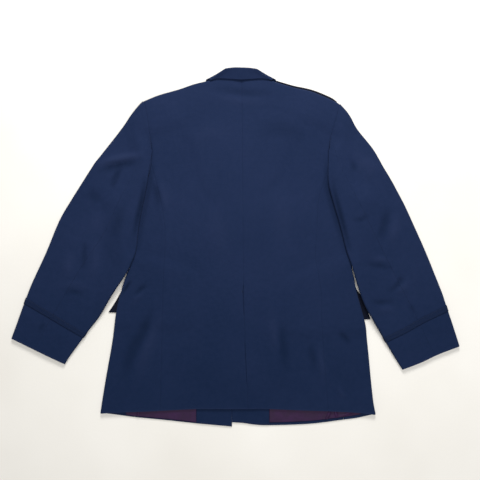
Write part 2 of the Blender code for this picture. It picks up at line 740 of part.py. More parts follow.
def pocket_flap(side, cloth, group):
    """The lower pocket's flap, on the floor under the front, its rear edge past the side fold."""
    points = SIDES[side]["flap"]
    outer = curve(points[:4])
    inner = curve([points[5], points[4]])
    plan = patch(between(outer(0), inner(0)), between(outer(1), inner(1)), outer, inner)
    rows = raised_rows(plan, lambda p: FLOOR_LAYER, spread(0, 1, 6), spread(0, 1, 5))
    return sheet(f"pocket_flap_{side}", rows, WALL, cloth, group)


def front_button(number, y, finish, group):
    bpy.ops.mesh.primitive_cylinder_add(vertices=20, radius=BUTTON_RADIUS * MM, depth=BUTTON_HEIGHT * MM,
                                        location=(BUTTON_X * MM, y * MM, BUTTON_HEIGHT / 2 * MM))
    button = bpy.context.object
    button.name = f"front_button_{number}"
    bevel = button.modifiers.new("rim", "BEVEL")
    bevel.width = 0.5 * MM
    bevel.segments = 1
    for owner in list(button.users_collection):
        owner.objects.unlink(button)
    group.objects.link(button)
    button.data.materials.append(finish)
    return button


def main():
    clear_scene()
    group = collection_named("service_coat")
    serge, braid, lining, metal = map(material_named, FINISHES)
    for side, table in SIDES.items():
        back_panel(side, serge, group)
        side_panel(side, serge, group)
        front_panel(side, serge, group)
        lapel(side, serge, group)
        pocket_flap(side, serge, group)
        shoulder_strap(side, serge, group)
        top_sleeve(side, serge, group)
        under_sleeve(side, serge, group)
        sleeve_braid(side, braid, group)
        hem_strip(f"facing_{side}", side, table["facing"], LINING_WALL, 1.5, serge, group)
        hem_strip(f"lining_{side}", side, table["lining"], LINING_WALL, table["hem_turn"], lining, group)
    vent_underlap(serge, group)
    collar(serge, group)
    for number, y in enumerate(BUTTON_ROWS, 1):
        front_button(number, y, metal, group)


main()
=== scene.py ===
"""Dresses a service jacket that lies face down: wool serge, cuff braid, satin lining and metal buttons.

Each cut piece is a thin cloth shell on the form of its solid. Lengths in the tables are millimetres in the
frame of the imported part, where x runs to the wearer's right, y to the collar and the surface is z = 0.
"""

import math

import bmesh
import bpy
import numpy as np
from bpy.props import FloatProperty, FloatVectorProperty, PointerProperty
from mathutils import Matrix, Vector, noise


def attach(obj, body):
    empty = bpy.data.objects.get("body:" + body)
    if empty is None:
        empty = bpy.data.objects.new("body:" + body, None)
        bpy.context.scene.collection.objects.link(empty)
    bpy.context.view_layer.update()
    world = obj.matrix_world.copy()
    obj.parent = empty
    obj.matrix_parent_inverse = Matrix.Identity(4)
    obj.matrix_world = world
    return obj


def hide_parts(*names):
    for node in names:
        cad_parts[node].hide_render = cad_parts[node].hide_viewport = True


bl_info = {
    "name": "Laid service jacket",
    "version": (1, 0, 0),
    "blender": (4, 5, 0),
    "location": "3D View > Sidebar > Jacket",
    "description": "Builds the cloth, trimmings and stage of a service jacket that lies face down",
    "category": "Add Mesh",
}

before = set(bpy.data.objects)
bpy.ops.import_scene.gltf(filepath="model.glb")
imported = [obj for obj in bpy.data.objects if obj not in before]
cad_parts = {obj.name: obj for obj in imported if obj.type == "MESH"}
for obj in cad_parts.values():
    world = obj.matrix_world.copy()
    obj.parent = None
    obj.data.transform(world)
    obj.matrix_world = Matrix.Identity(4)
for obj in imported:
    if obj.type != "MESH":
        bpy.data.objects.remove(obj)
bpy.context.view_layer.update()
BODY = "root"
MM = 0.001
MERGE_DISTANCE = 1e-6

# Cloth and how its layers lie on each other
WALL = 1.8
SEAM_GAP = 0.3
ARMHOLE_GAP = 0.6
RESTING_GAP = 1.0
LAYER_STEP = 5.7
FLOOR_LAYER = WALL / 2
FOLD_RADIUS = LAYER_STEP / 2
TUCKED_LIFT = WALL + 2 * SEAM_GAP
STRAP_WALL = 2.4
STRAP_LIFT = STRAP_WALL + 2 * SEAM_GAP
BUTTON_HEIGHT = 3.2
BUTTON_LIFT = BUTTON_HEIGHT + 2 * SEAM_GAP
BACK_OVER_BUTTONS = 2.6
LINING_WALL = 1.2
UNDERLAP_WALL = 1.6
BRAID_WALL = 0.8
BRAID_GAP = 0.3
NECK_EDGE = 0.2
CORNER_POWER = 12
SHOULDER_RISE = 5.0
SHOULDER_SPREAD = 55.0

# Outlines of each side: x, y from the middle of the laid coat
SIDES = {
    "left": {
        "sign": -1,
        "shoulder": [(-50, 387), (-67, 382), (-97, 374.5), (-130, 363), (-176, 349), (-211, 334)],
        "armhole": [(-211, 334), (-207, 318), (-203, 295), (-199, 260), (-194, 224)],
        "underarm": [(-194, 224), (-196, 190), (-206, 158), (-230, 122), (-264, 100)],
        "front_armhole": [(-211, 334), (-264, 100)],
        "back_seam": [(-196, 190), (-180, 130), (-168, 70), (-164, 18), (-169, -110), (-172, -245),
                      (-176, -380)],
        "side": [(-264, 100), (-255, 30), (-245, -38), (-250.3, -60), (-256.5, -77), (-263.5, -98),
                 (-270, -122), (-276, -150), (-285, -217), (-296, -281), (-308.3, -356), (-313, -386)],
        "side_seam": [(-248.2, 165.5), (-208, 60), (-182, -40), (-190, -117), (-215, -250), (-235, -396)],
        "front_edge": [(-9, -418), (-9, -180), (-8, 60)],
        "roll_line": [(-8, 60), (-20, 200), (-33, 337)],
        "neck": [(-33, 337), (-54, 362), (-50, 386)],
        "back_neck": [(14, 398), (-30, 395), (-50, 386)],
        "back_hem": [(28, -376), (-10, -376), (-92, -376), (-176, -380.5)],
        "side_hem": [(-176, -380.5), (-227, -382.5), (-312, -386)],
        "front_hem": [(-9, -418), (-92, -410.5), (-161, -403), (-235, -396)],
        "under_hem": [(-235, -396), (-283, -389.5), (-312, -386)],
        "sleeve_outer": [(-211, 334), (-217, 329), (-224, 322), (-240, 303.5), (-267, 268), (-292, 236),
                         (-315.5, 206.5), (-334.5, 181), (-375.3, 116), (-407.5, 61), (-440.8, -18),
                         (-474.3, -92), (-519, -213)],
        "sleeve_inner": [(-191.4, 224), (-199, 182), (-210, 117), (-224, 47), (-231, -10), (-241, -38),
                         (-250, -57), (-259, -72), (-275, -94), (-294, -122), (-320, -165), (-346, -200),
                         (-384, -251), (-397, -272)],
        "cuff": [(-519, -213), (-458, -243), (-397, -272)],
        "strap": [(-94, 371), (-130, 357), (-176, 344), (-194, 337)],
        "lapel": [(-86, 322), (-98, 300), (-58, 190), (-12, 66)],
        "flap": [(-244, -45), (-261, -92), (-279, -127), (-296, -153), (-120, -158), (-115, -84)],
        "hem_turn": 3.0,
        "lining": (-92, -255),
        "facing": (-9.2, -91),
    },
    "right": {
        "sign": 1,
        "shoulder": [(75, 385.5), (91, 380), (135, 366.8), (170, 359), (195, 349), (221, 337), (237, 328)],
        "armhole": [(237, 328), (234, 306), (223, 267), (218, 245), (216, 224)],
        "underarm": [(216, 224), (218, 190), (228, 158), (250, 122), (281, 100)],
        "front_armhole": [(237, 328), (281, 100)],
        "back_seam": [(218, 190), (203, 145), (191, 103), (187, 25), (184, -24), (191, -67), (197, -110),
                      (199, -181), (209, -316), (214, -381)],
        "side": [(281, 100), (274, 30), (267.5, -40), (273.5, -75), (279, -105), (288, -138), (299, -180),
                 (303.5, -217), (309.8, -281), (317.3, -356), (323, -388.5)],
        "side_seam": [(267.6, 163.7), (227, 60), (206, -40), (222, -120), (240, -250), (250, -402)],
        "front_edge": [(-8.85, -408), (-8.85, -180), (-7, 60)],
        "roll_line": [(-7, 60), (30, 200), (58, 338)],
        "neck": [(58, 338), (79, 362), (75, 385.5)],
        "back_neck": [(14, 398), (55, 395), (75, 385.5)],
        "back_hem": [(28, -376), (77, -376), (149, -379), (214, -381)],
        "side_hem": [(214, -381), (270, -384), (323, -388.5)],
        "front_hem": [(-8.85, -408), (19, -410), (39, -413), (78, -415), (172, -411.5), (250, -402)],
        "under_hem": [(250, -402), (283, -397.5), (323, -388.5)],
        "sleeve_outer": [(237, 328), (243, 321.5), (253, 310), (263, 296), (272, 282), (283.5, 267),
                         (318, 224.5), (342, 183), (367, 140.5), (400, 75), (444, -24), (474, -99),
                         (487, -138), (518, -231)],
        "sleeve_inner": [(213.4, 224), (214, 153), (223, 110), (241, 47), (255, -7), (267, -42), (273, -62),
                         (287, -108), (301, -141), (319.5, -172), (338, -203), (365, -250), (387, -284.5)],
        "cuff": [(518, -231), (470, -249), (430, -268), (387, -284.5)],
        "strap": [(91.5, 386), (118, 378), (135, 373.2), (170, 365.6), (195, 356.8), (222, 344),
                  (234, 335)],
        "lapel": [(112, 324), (122, 302), (80, 190), (0, 66)],
        "flap": [(262, -52), (281, -100), (297, -122), (313, -169), (140, -176), (136, -100)],
        "hem_turn": 7.0,
        "lining": (78, 290),
        "facing": (-8.7, 77),
    },
}

# Shares of a sleeve: rows run from the armhole to the cuff
HIND_SEAM = ((0.0, 0.70), (0.35, 0.58), (0.65, 0.48), (1.0, 0.43))
FORE_SEAM = ((0.0, 0.62), (0.35, 0.45), (1.0, 0.33))
SEAM_SHARE = 0.0006  # of a sleeve's width, half of the gap at its seams
UNDERARM_SHARE = 0.34  # of the sleeve's lower layer at the armhole, from the fold to the underarm
STEP_DOWN_SHARE = 0.12
PRESSED_STEP = 2.4  # between the sleeve's walls where its fold starts on the body
BRAID_ROWS = (0.842, 0.864)
BRAID_LIFT = BRAID_WALL + BRAID_GAP
BRAID_DRAPE = (0.04, 0.1)  # shares down the sleeve, from the braid's middle, over which it lies down again
BRAID_COLUMNS = 60  # across one side of the cuff
LOW_DRAPE = (4, 46)  # distances from the body between which the sleeve's lower wall comes off it
HIGH_DRAPE = (4, 60)
# Shares down the sleeve between which its upper wall leaves the armhole seam
SEAM_CREASES = (0.01, 0.10)
SEAM_PRESSED = (0.02, 0.16)
SEAM_LEVEL = (0.0, 0.10)
SEAM_HEIGHT = (0.0, 0.12)
LEVEL_SHARES = (0.55, 0.95)  # across the sleeve, for the part that stays level with the back

# Centre back seam and vent
CENTRE_BACK = [(14, 398), (14, 331), (17, 4), (18, -96), (21, -210), (25, -298), (28, -376)]
VENT_TOP = -96.0
VENT_TACK = 12.0  # how far the underlap reaches above the vent's opening
VENT_SHORT = 0.006  # of the underlap's length, by which it ends above the hem
VENT_LAP = 42.0  # from the centre seam under the left back
VENT_SEWN = 14.0  # from the centre seam under the right back, where it is sewn on
VENT_OPENING = 2.4
VENT_WIDEST = VENT_TOP - 26
VENT_REACH = (14, 42)  # distances from its widest place between which it closes
VENT_SLACK = 1.1  # by which the vent stands open again lower down
VENT_SLACK_Y = -264.0
VENT_SLACK_REACH = (26, 60)

BUTTON_X = 14.0
BUTTON_ROWS = (52, -48, -148, -248)

LAPEL_GAP = 1.0  # between the front's roll line and the lapel turned out under it
STRAP_WIDTH = 45.0
STRAP_SLANT = {"left": 0.0, "right": 34.0}  # by which a strap's end at the collar leans outwards
STRAP_SAG = 0.15  # of the shoulder's rise, by which a strap hangs below the front
FACING_INSET = 1.5  # from the front's hem to the facing's edge
STRIP_DEPTH = 62.0  # how far the facing and lining reach up from the hem, past the back's edge

# Collar sections from a front end to the middle of the back: free edge, roll and neck seam in plan
COLLAR = {
    "left": {
        "front": (
            ((-88, 330), (-29, 343), (-35, 342)),
            ((-88, 352), (-27, 372), (-47, 366)),
            ((-69, 382.3), (-26, 399.5), (-44, 389)),
        ),
        "back": (
            ((-58, 383.5), (-24, 406.5), (-38, 401)),
            ((-39, 387.5), (-5, 408.6), (-22, 400)),
        ),
    },
    "right": {
        "front": (
            ((112, 332), (54, 344), (60, 343)),
            ((112, 354), (52, 372), (70.5, 366)),
            ((93, 382), (51.5, 398.8), (69, 389)),
        ),
        "back": (
            ((82, 384), (49, 405.5), (63, 400.5)),
            ((61, 387.5), (30, 407.8), (46, 400)),
        ),
    },
}
COLLAR_MIDDLE = ((12, 385), (12, 408.4), (12, 400))
COLLAR_LEAN = 0.15  # towards the neck, for each unit across, of the roll's front sections
ROLL_HEIGHT = 19.0
ROLL_DEPTH = 4.4
COLLAR_FOLD_ANGLES = (-72, -48, -24, 0, 24, 48, 72)
COLLAR_BULGES = (0.9, 0.35, 0.35, 1.0)  # how round the fold is at the free edge, the roll and the seam

# Stage, in metres but for the sensor
FLOOR_SIZE = 6.0
FLOOR_GAP = 0.0003
LAMPS = (  # name, place, size, share of the power
    ("ceiling_lamp", (0.25, -0.3, 2.2), (2.2, 1.8), 0.50),
    ("window_lamp", (0.1, 1.5, 1.1), (0.6, 0.6), 0.49),
)
LIGHT_COLOUR = (1.0, 0.985, 0.96)
SENSOR = 36.0
CLOTH_LEVEL = 0.0035
FRAME_MIDDLE = (0.0097, 0.0153)

# How a seam looks: the panels' edges dip into it, over allowances pressed open beneath
SEAM_DIP = 0.5
SEAM_DIP_WIDTH = 1.9
ALLOWANCE = (9.0, 16.0)  # distances from the seam between which an allowance ends
ALLOWANCE_RISE = 0.35
SEWN_GAP = 0.14  # left between two panels that are sewn together
HIND_SEAM_DEPTH = 0.2  # of a body seam's dip, on the sleeves
ARMHOLE_DEPTH = {"left": 0.6, "right": 1.0}  # the same, up the back's armholes
RUBBED_WIDTH = 1.8
PAINTED_CREASE_RELIEF = 3.3  # a ridge this high gets the full painted highlight, and a trough this deep the full painted shade

# Soft ridges (height above 0) and troughs (below 0) of the upper layers: width, height and course
BODY_CREASES = [
    (9, -0.9, [(-74, 370), (17, 355), (103, 354)]),
    (9, 0.8, [(-80, 352), (17, 336), (110, 338)]),
    (7, -1.7, [(-190, 228), (-196, 180), (-206, 120), (-220, 55), (-229, -2), (-240, -34)]),
    (7, -2.0, [(211, 226), (211, 153), (219, 110), (237, 47), (251, -5), (262, -44)]),
    (8, -1.6, [(-192, 155), (-183, 120), (-178, 84)]),
    (9, 0.9, [(-176, 158), (-166, 118), (-160, 70)]),
    (11, -1.9, [(-183, -128), (-218, -205), (-241, -245), (-263, -326)]),
    (13, 1.3, [(-164, -124), (-194, -205), (-215, -263), (-234, -344)]),
    (3.5, -2.4, [(-240, -74), (-252, -93), (-266, -115)]),
    (6, -1.5, [(-200, -84), (-218, -98), (-238, -118)]),
    (6, 1.1, [(-208, -100), (-226, -116), (-244, -138)]),
    (10, -1.2, [(100, -160), (106, -205), (118, -305)]),
    (10, 1.0, [(75, -138), (88, -190), (96, -265)]),
    (8, -1.2, [(172, -217), (178, -255), (186, -300)]),
    (9, 1.2, [(190, -210), (198, -270), (210, -330)]),
    (6, -1.7, [(236, -195), (252, -212), (266, -232)]),
    (6, 1.0, [(235, -321), (245, -340), (253, -356)]),
    (24, 0.8, [(-60, 120), (-40, 20), (-48, -60)]),
    (22, 0.8, [(92, 150), (110, 60), (100, -30)]),
    (18, 0.7, [(-120, 240), (-60, 262), (0, 250)]),
    (18, -0.7, [(40, 262), (110, 270), (180, 240)]),
]
SLEEVE_CREASES = {
    "left": [
        (6, -2.3, [(-205, 180), (-215, 117), (-230, 47), (-238, -5)]),
        (8, 3.4, [(-338, 184), (-278, 201), (-200, 214)]),
        (7, -2.0, [(-330, 168), (-276, 184), (-214, 198)]),
        (6, -2.4, [(-263, 190), (-276, 165), (-290, 128)]),
        (12, -1.2, [(-348, 128), (-326, 112), (-318, 92)]),
        (6, -1.3, [(-350, 22), (-352, -24), (-356, -66)]),
        (12, 1.4, [(-380, 0), (-388, -40), (-392, -88)]),
        (10, 1.2, [(-330, 22), (-324, -30), (-336, -84)]),
        (6, -1.3, [(-404, -110), (-376, -106), (-345, -112)]),
        (8, 0.9, [(-418, -90), (-368, -88), (-330, -96)]),
        (5, -1.0, [(-440, -173), (-450, -188), (-459, -203)]),
        (16, 1.0, [(-300, 90), (-318, 60), (-322, 20)]),
        (12, -1.0, [(-262, 110), (-270, 60), (-286, 4)]),
    ],
    "right": [
        (6, -2.3, [(221, 180), (223, 153), (231, 110), (248, 47), (261, -7), (272, -40)]),
        (6, -1.2, [(268, 204), (273, 184), (276, 164)]),
        (9, -1.9, [(353, 97), (344, 50), (330, 4)]),
        (11, 1.3, [(376, 84), (368, 42), (354, -2)]),
        (5, -1.1, [(308, 78), (290, 62), (262, 62)]),
        (6, -1.4, [(296, -36), (330, -46), (372, -52)]),
        (7, 1.2, [(300, -28), (336, -30), (370, -38)]),
        (5.5, -1.4, [(345, -112), (372, -92), (396, -60)]),
        (8, 1.0, [(366, -110), (388, -94), (410, -74)]),
        (6, -1.3, [(304, -122), (334, -130), (376, -128)]),
        (8, 1.1, [(312, -146), (346, -146), (380, -149)]),
        (5, -1.0, [(376, -66), (380, -76), (382, -88)]),
        (14, 1.2, [(262, 200), (300, 190), (330, 160)]),
        (6, -0.9, [(400, -134), (408, -144), (414, -158)]),
    ],
}
LINING_CREASES = {
    "left": [(2.6, 1.9, [(-226, -350), (-226, -384), (-229, -420)])],
    "right": [(2.6, 2.2, [(226, -362), (217, -385), (200, -420)]),
              (2.6, 2.2, [(226, -362), (231, -384), (240, -415)]),
              (2.6, 1.6, [(232, -398), (262, -386), (290, -372)])],
}


# Curves in plan, read by the share of their length

FINE_SHARES = np.linspace(0, 1, 400)
TANGENT_STEP = 0.01  # share on each side of a place over which its direction is taken
TOP_TANGENT_STEP = 0.02


def rounded(points, steps=24):
    """The points with a smooth curve drawn through them."""
    known = np.array(points, float)
    if len(known) < 3:
        return known
    ends = np.concatenate([[2 * known[0] - known[1]], known, [2 * known[-1] - known[-2]]])
    t = (np.arange(steps) / steps).reshape(-1, *[1] * (known.ndim - 1))
    drawn = [0.5 * (2 * b + (c - a) * t + (2 * a - 5 * b + 4 * c - d) * t**2
                    + (3 * b - 3 * c + d - a) * t**3)
             for a, b, c, d in zip(ends, ends[1:], ends[2:], ends[3:])]
    return np.concatenate([*drawn, known[-1:]])


def steps_of(line):
    """The lengths of a plan line's steps."""
    return np.hypot(*np.diff(line, axis=0).T)


def read_at(reach, lengths, line):
    """Points of a line at these distances along it."""
    return np.stack([np.interp(reach, lengths, column) for column in line.T], axis=-1)


def curve(points):
    drawn = rounded(points)
    lengths = np.r_[0, np.cumsum(steps_of(drawn))]
    return lambda share: read_at(np.asarray(share, float) * lengths[-1], lengths, drawn)


def share_of_point(points, index):
    """Where along its curve a point of the list lies."""
    lengths = np.r_[0, np.cumsum(steps_of(rounded(points)))]
    return lengths[index * (len(lengths) - 1) // (len(points) - 1)] / lengths[-1]


def chain(first, second, share):
    """Two curves read as one, the first taking this share of the rows."""

    def at(t):
        t = np.asarray(t, float)
        early = first(np.clip(t / share, 0, 1))
        late = second(np.clip((t - share) / (1 - share), 0, 1))
        return np.where(t[..., None] < share, early, late)

    return at


def between(start, end):
    return lambda t: start + (end - start) * np.asarray(t, float)[..., None]


def backwards(line):
    return lambda t: line(1 - np.asarray(t, float))


def part_of(line, start, end):
    return lambda t: line(start + (end - start) * np.asarray(t, float))


def outward(line, t, sign):
    """The plan normal of a line that runs towards the hem, pointing away from the body for this sign."""
    t = np.asarray(t, float)
    along = line(np.minimum(t + TANGENT_STEP, 1)) - line(np.maximum(t - TANGENT_STEP, 0))
    along = along / np.linalg.norm(along, axis=-1, keepdims=True)
    return sign * np.stack([-along[..., 1], along[..., 0]], axis=-1)


def beside(line, distance, sign):
    return lambda t: line(t) + distance * outward(line, t, sign)


def side_edge(side, name, off=0.0):
    """A named outline of one side as a curve, moved this far off the body."""
    line = curve(SIDES[side][name])
    return beside(line, off, SIDES[side]["sign"]) if off else line


def drawn_to(line, start, end):
    """The line with its two ends bent to these points."""
    shifts = start - line(0), end - line(1)

    def at(t):
        t = np.asarray(t, float)[..., None]
        return line(t[..., 0]) + (1 - t) ** CORNER_POWER * shifts[0] + t**CORNER_POWER * shifts[1]

    return at


def patch(top, bottom, left, right):
    """Plan points between four edges, for shares down (u) and across (v); its sides fix its corners."""
    top = drawn_to(top, left(0), right(0))
    bottom = drawn_to(bottom, left(1), right(1))

    def at(u, v):
        row, column = np.asarray(u, float)[..., None], np.asarray(v, float)[..., None]
        spanned = (1 - row) * top(v) + row * bottom(v) + (1 - column) * left(u) + column * right(u)
        upper = (1 - column) * top(0) + column * top(1)
        lower = (1 - column) * bottom(0) + column * bottom(1)
        return spanned - (1 - row) * upper - row * lower

    return at


def ruled(left, right):
    """The patch between two lines whose top and bottom are straight."""
    return patch(between(left(0), right(0)), between(left(1), right(1)), left, right)


# Heights

DRAPE = (14, 46)  # distances from tucked cloth between which the coat comes down to the surface
BUTTON_DRAPE = (16, 44)
BACK_DRAPE = (40, 120)
BODY_RIPPLES = ((95, 0.9, 3.1), (32, 0.22, 8.7))  # size, height and seed of the cloth's slow waves
SLEEVE_RIPPLES = ((70, 0.8, 5.3), (26, 0.25, 1.9))
LINING_RIPPLES = ((14, 0.25, 6.6),)
CREASE_END = 0.3  # of its length over which a crease dies away at each end


def fade(distance, full, none):
    """1 up to the full distance, 0 from the none distance on, smooth between."""
    t = np.clip((none - distance) / (none - full), 0, 1)
    return t * t * (3 - 2 * t)


def bell(distance, width):
    return np.exp(-((distance / width) ** 2))


def distance_from(place, points):
    return np.hypot(*np.moveaxis(points - np.array(place), -1, 0))


def distance_to(outline, points, closed=True):
    """How far plan points are outside a closed outline, 0 inside it, or from an open line."""
    corners = np.array(outline, float)
    x, y = points[..., 0], points[..., 1]
    inside = np.zeros(x.shape, bool)
    nearest = np.full(x.shape, np.inf)
    starts, ends = (corners, np.roll(corners, -1, axis=0)) if closed else (corners[:-1], corners[1:])
    for a, b in zip(starts, ends):
        step = b - a
        if closed and step[1]:
            inside ^= ((a[1] > y) != (b[1] > y)) & (x < a[0] + step[0] * (y - a[1]) / step[1])
        share = np.clip(((x - a[0]) * step[0] + (y - a[1]) * step[1]) / (step @ step), 0, 1)
        nearest = np.minimum(nearest, np.hypot(x - a[0] - share * step[0], y - a[1] - share * step[1]))
    return np.where(inside, 0, nearest)


def collar_front(side):
    rows = COLLAR[side]["front"]
    return [free for free, _, _ in rows] + [roll for _, roll, _ in reversed(rows)]


def strap_outline(side):
    edge = SIDES[side]["strap"]
    return list(edge) + [(x, y - STRAP_WIDTH) for x, y in reversed(edge)]


TUCKED = [tucked for side, table in SIDES.items() for tucked in (
    (table["lapel"] + table["roll_line"], TUCKED_LIFT), (table["flap"], TUCKED_LIFT),
    (collar_front(side), TUCKED_LIFT), (strap_outline(side), STRAP_LIFT))]
BAND_REACH = 8.0  # of the band that the buttons lift, on each side of their middles
BUTTON_BAND = [(BUTTON_X + BAND_REACH * across, BUTTON_ROWS[row] + BAND_REACH * along)
               for across, row, along in ((-1, 0, 1), (1, 0, 1), (1, -1, -1), (-1, -1, -1))]
BODY_MIDDLE = [(0, -380), (0, 334)]


def body_outline(side):
    table = SIDES[side]
    edges = [rounded(table["armhole"], 8), rounded(table["underarm"], 8)[1:], rounded(table["side"], 8)[1:]]
    return np.concatenate([*edges, BODY_MIDDLE])


BODY_OUTLINE = {side: body_outline(side) for side in SIDES}


def shoulder_rise(points):
    away = [distance_from(table["armhole"][0], points) for table in SIDES.values()]
    return SHOULDER_RISE * bell(np.minimum(*away), SHOULDER_SPREAD)


def tucked_lift(points):
    """How far the coat is held up by the cloth tucked beneath its front."""
    lifts = [height * fade(distance_to(outline, points), *DRAPE) for outline, height in TUCKED]
    return np.max(lifts, axis=0)


def front_height(points):
    buttons = BUTTON_LIFT * fade(distance_to(BUTTON_BAND, points), *BUTTON_DRAPE)
    return FLOOR_LAYER + np.maximum(tucked_lift(points), buttons) + shoulder_rise(points)


def back_height(points):
    buttons = BACK_OVER_BUTTONS * fade(distance_to(BUTTON_BAND, points), *BACK_DRAPE)
    return FLOOR_LAYER + LAYER_STEP + np.maximum(tucked_lift(points), buttons) + shoulder_rise(points)


def creased(points, creases):
    """The height that a table of soft ridges and troughs adds at plan points."""
    total = np.zeros(points.shape[:-1])
    for width, height, course in creases:
        line = rounded(course, 6)
        ends = np.minimum(distance_from(line[0], points), distance_from(line[-1], points))
        taper = 1 - bell(ends, CREASE_END * np.sum(steps_of(line)))
        total += height * bell(distance_to(line, points, closed=False), width) * taper
    return total * bpy.context.scene.jacket_sizes.crease_depth


def rippled(points, size, height, seed):
    """Slow uneven waves of cloth that lies at rest."""
    flat = points.reshape(-1, 2) / size
    waves = [noise.noise(Vector((x, y, seed))) for x, y in flat]
    return height * np.array(waves).reshape(points.shape[:-1])


def relief(points, creases, ripples):
    """What its creases and slow waves add to a cloth's height."""
    return sum((rippled(points, *waves) for waves in ripples), creased(points, creases))


def upper_height(points):
    """Middle of the back's wall, with its creases."""
    return back_height(points) + relief(points, BODY_CREASES, BODY_RIPPLES)


def floor_height(points):
    return np.full(points.shape[:-1], FLOOR_LAYER)


# Sheets: a grid of points becomes a cloth shell


SEAM_STEPS = (0.0, 0.7, 1.5, 2.6, 4.2, 6.5, 9.5, 13.0)  # distances from a seam to its nearest rows


def seam_spread(width, count):
    """Shares across a panel about this wide, closer together beside the seams at its two edges."""
    edge = np.array(SEAM_STEPS) / width
    return np.concatenate([edge[:-1], np.linspace(edge[-1], 1 - edge[-1], count), 1 - edge[:-1][::-1]])


def one_seam(width, count):
    """Shares across a panel from a seam at 0, where they lie closer, to a fold at 1."""
    edge = np.array(SEAM_STEPS) / width
    return np.concatenate([edge[:-1], np.linspace(edge[-1], 1, count)])


def down(shares):
    return np.asarray(shares, float)[:, None]


def raised(plan, height):
    return np.concatenate([plan, height(plan)[..., None]], axis=-1)


def grid(plan, rows, columns, height):
    """The points of a patch at these shares down and across, lifted to their height."""
    return raised(plan(down(rows), columns[None, :]), height)


def even_grid(plan, height, rows, columns):
    return grid(plan, np.linspace(0, 1, rows), np.linspace(0, 1, columns), height)


def edge_distance(places, side):
    """How far each point of a row is from the row's first (left) or last (right) one, along the cloth."""
    steps = np.linalg.norm(np.diff(places, axis=1), axis=-1)
    reach = np.concatenate([np.zeros((len(places), 1)), np.cumsum(steps, axis=1)], axis=1)
    return reach if side == "left" else reach[:, -1:] - reach


def seamed(places, left=1.0, right=1.0):
    """Turns a panel's edges down into their seams, with the allowances as a low ridge beside them."""
    for side, depth in (("left", left), ("right", right)):
        reach = edge_distance(places, side)
        places[..., 2] -= depth * SEAM_DIP * bell(reach, SEAM_DIP_WIDTH)
        places[..., 2] += depth * ALLOWANCE_RISE * fade(reach, *ALLOWANCE)
    return places


def fold_arc(upper_end, lower_end, normal, count=9, reach=80):
    """The points round a fold, from the end of the upper layer to the start of the lower one."""
    middle = (upper_end[:, None, 2] + lower_end[:, None, 2]) / 2
    radius = (upper_end[:, None, 2] - lower_end[:, None, 2]) / 2
    angles = np.radians(np.linspace(reach, -reach, count))[None, :]
    share = ((1 - np.sin(angles)) / 2)[..., None]
    plan = (1 - share) * upper_end[:, None, :2] + share * lower_end[:, None, :2]
    plan = plan + (radius * np.cos(angles))[..., None] * normal[:, None, :]
    return np.concatenate([plan, (middle + radius * np.sin(angles))[..., None]], axis=-1)


TOP_ANGLES = np.radians((6, 18, 32, 46, 60, 76))  # round the shoulder's fold


def rounded_top(places, normals, turned, over):
    """Rows added above the first one, where a panel turns down (over) or up to the shoulder seam."""
    added = []
    for angle in TOP_ANGLES:
        reach = FOLD_RADIUS * math.cos(angle) * np.maximum(turned, NECK_EDGE)
        drop = FOLD_RADIUS * (1 - math.sin(angle)) * turned
        plan = places[0, :, :2] + reach[:, None] * normals
        height = places[0, :, 2] + (-drop if over else drop)
        added.append(np.concatenate([plan, height[:, None]], axis=-1))
    return np.concatenate([np.array(added), places])


def cloth_uv(places):
    """Metres along and across the cloth for each point of a grid."""
    across = edge_distance(places, "left")
    across = across - across.mean(axis=1, keepdims=True)
    along = np.linalg.norm(np.diff(places, axis=0), axis=-1).mean(axis=1)
    along = np.broadcast_to(np.r_[0, -np.cumsum(along)][:, None], across.shape)
    return np.stack([across, along], axis=-1) * MM


def painted_crease_shade_and_wear(places, creases):
    """Wear on the lower edge (1) plus painted crease light: highlight on high ridges, shade down to -1 in
    troughs.
    """
    up = places.swapaxes(0, 1)
    edge = bell(edge_distance(up, "right").swapaxes(0, 1), RUBBED_WIDTH)
    on_top = np.clip((places[..., 2] - FLOOR_LAYER) / LAYER_STEP, 0, 1)
    return np.clip(edge + on_top * creased(places[..., :2], creases) / PAINTED_CREASE_RELIEF, -1, 1)


def flat_size(places):
    """Width, length and area of the cut, in metres, measured on the cloth's middle surface."""
    width = edge_distance(places, "left")[:, -1].max() * MM
    length = edge_distance(places.swapaxes(0, 1), "left")[:, -1].max() * MM
    sides = places[1:, :-1] - places[:-1, :-1], places[:-1, 1:] - places[:-1, :-1]
    area = np.linalg.norm(np.cross(*sides), axis=-1).sum() * MM * MM
    return (float(width), float(length)), float(min(area, width * length))


def linked(name, mesh, finish):
    """An object of this mesh and finish, in the scene."""
    mesh.materials.append(finish_named(finish))
    piece = bpy.data.objects.new(name, mesh)
    bpy.context.scene.collection.objects.link(piece)
    return piece


def shaped(name, shape, finish):
    """A finished shape as a smooth object."""
    mesh = bpy.data.meshes.new(name)
    shape.to_mesh(mesh)
    shape.free()
    mesh.shade_smooth()
    return linked(name, mesh, finish)


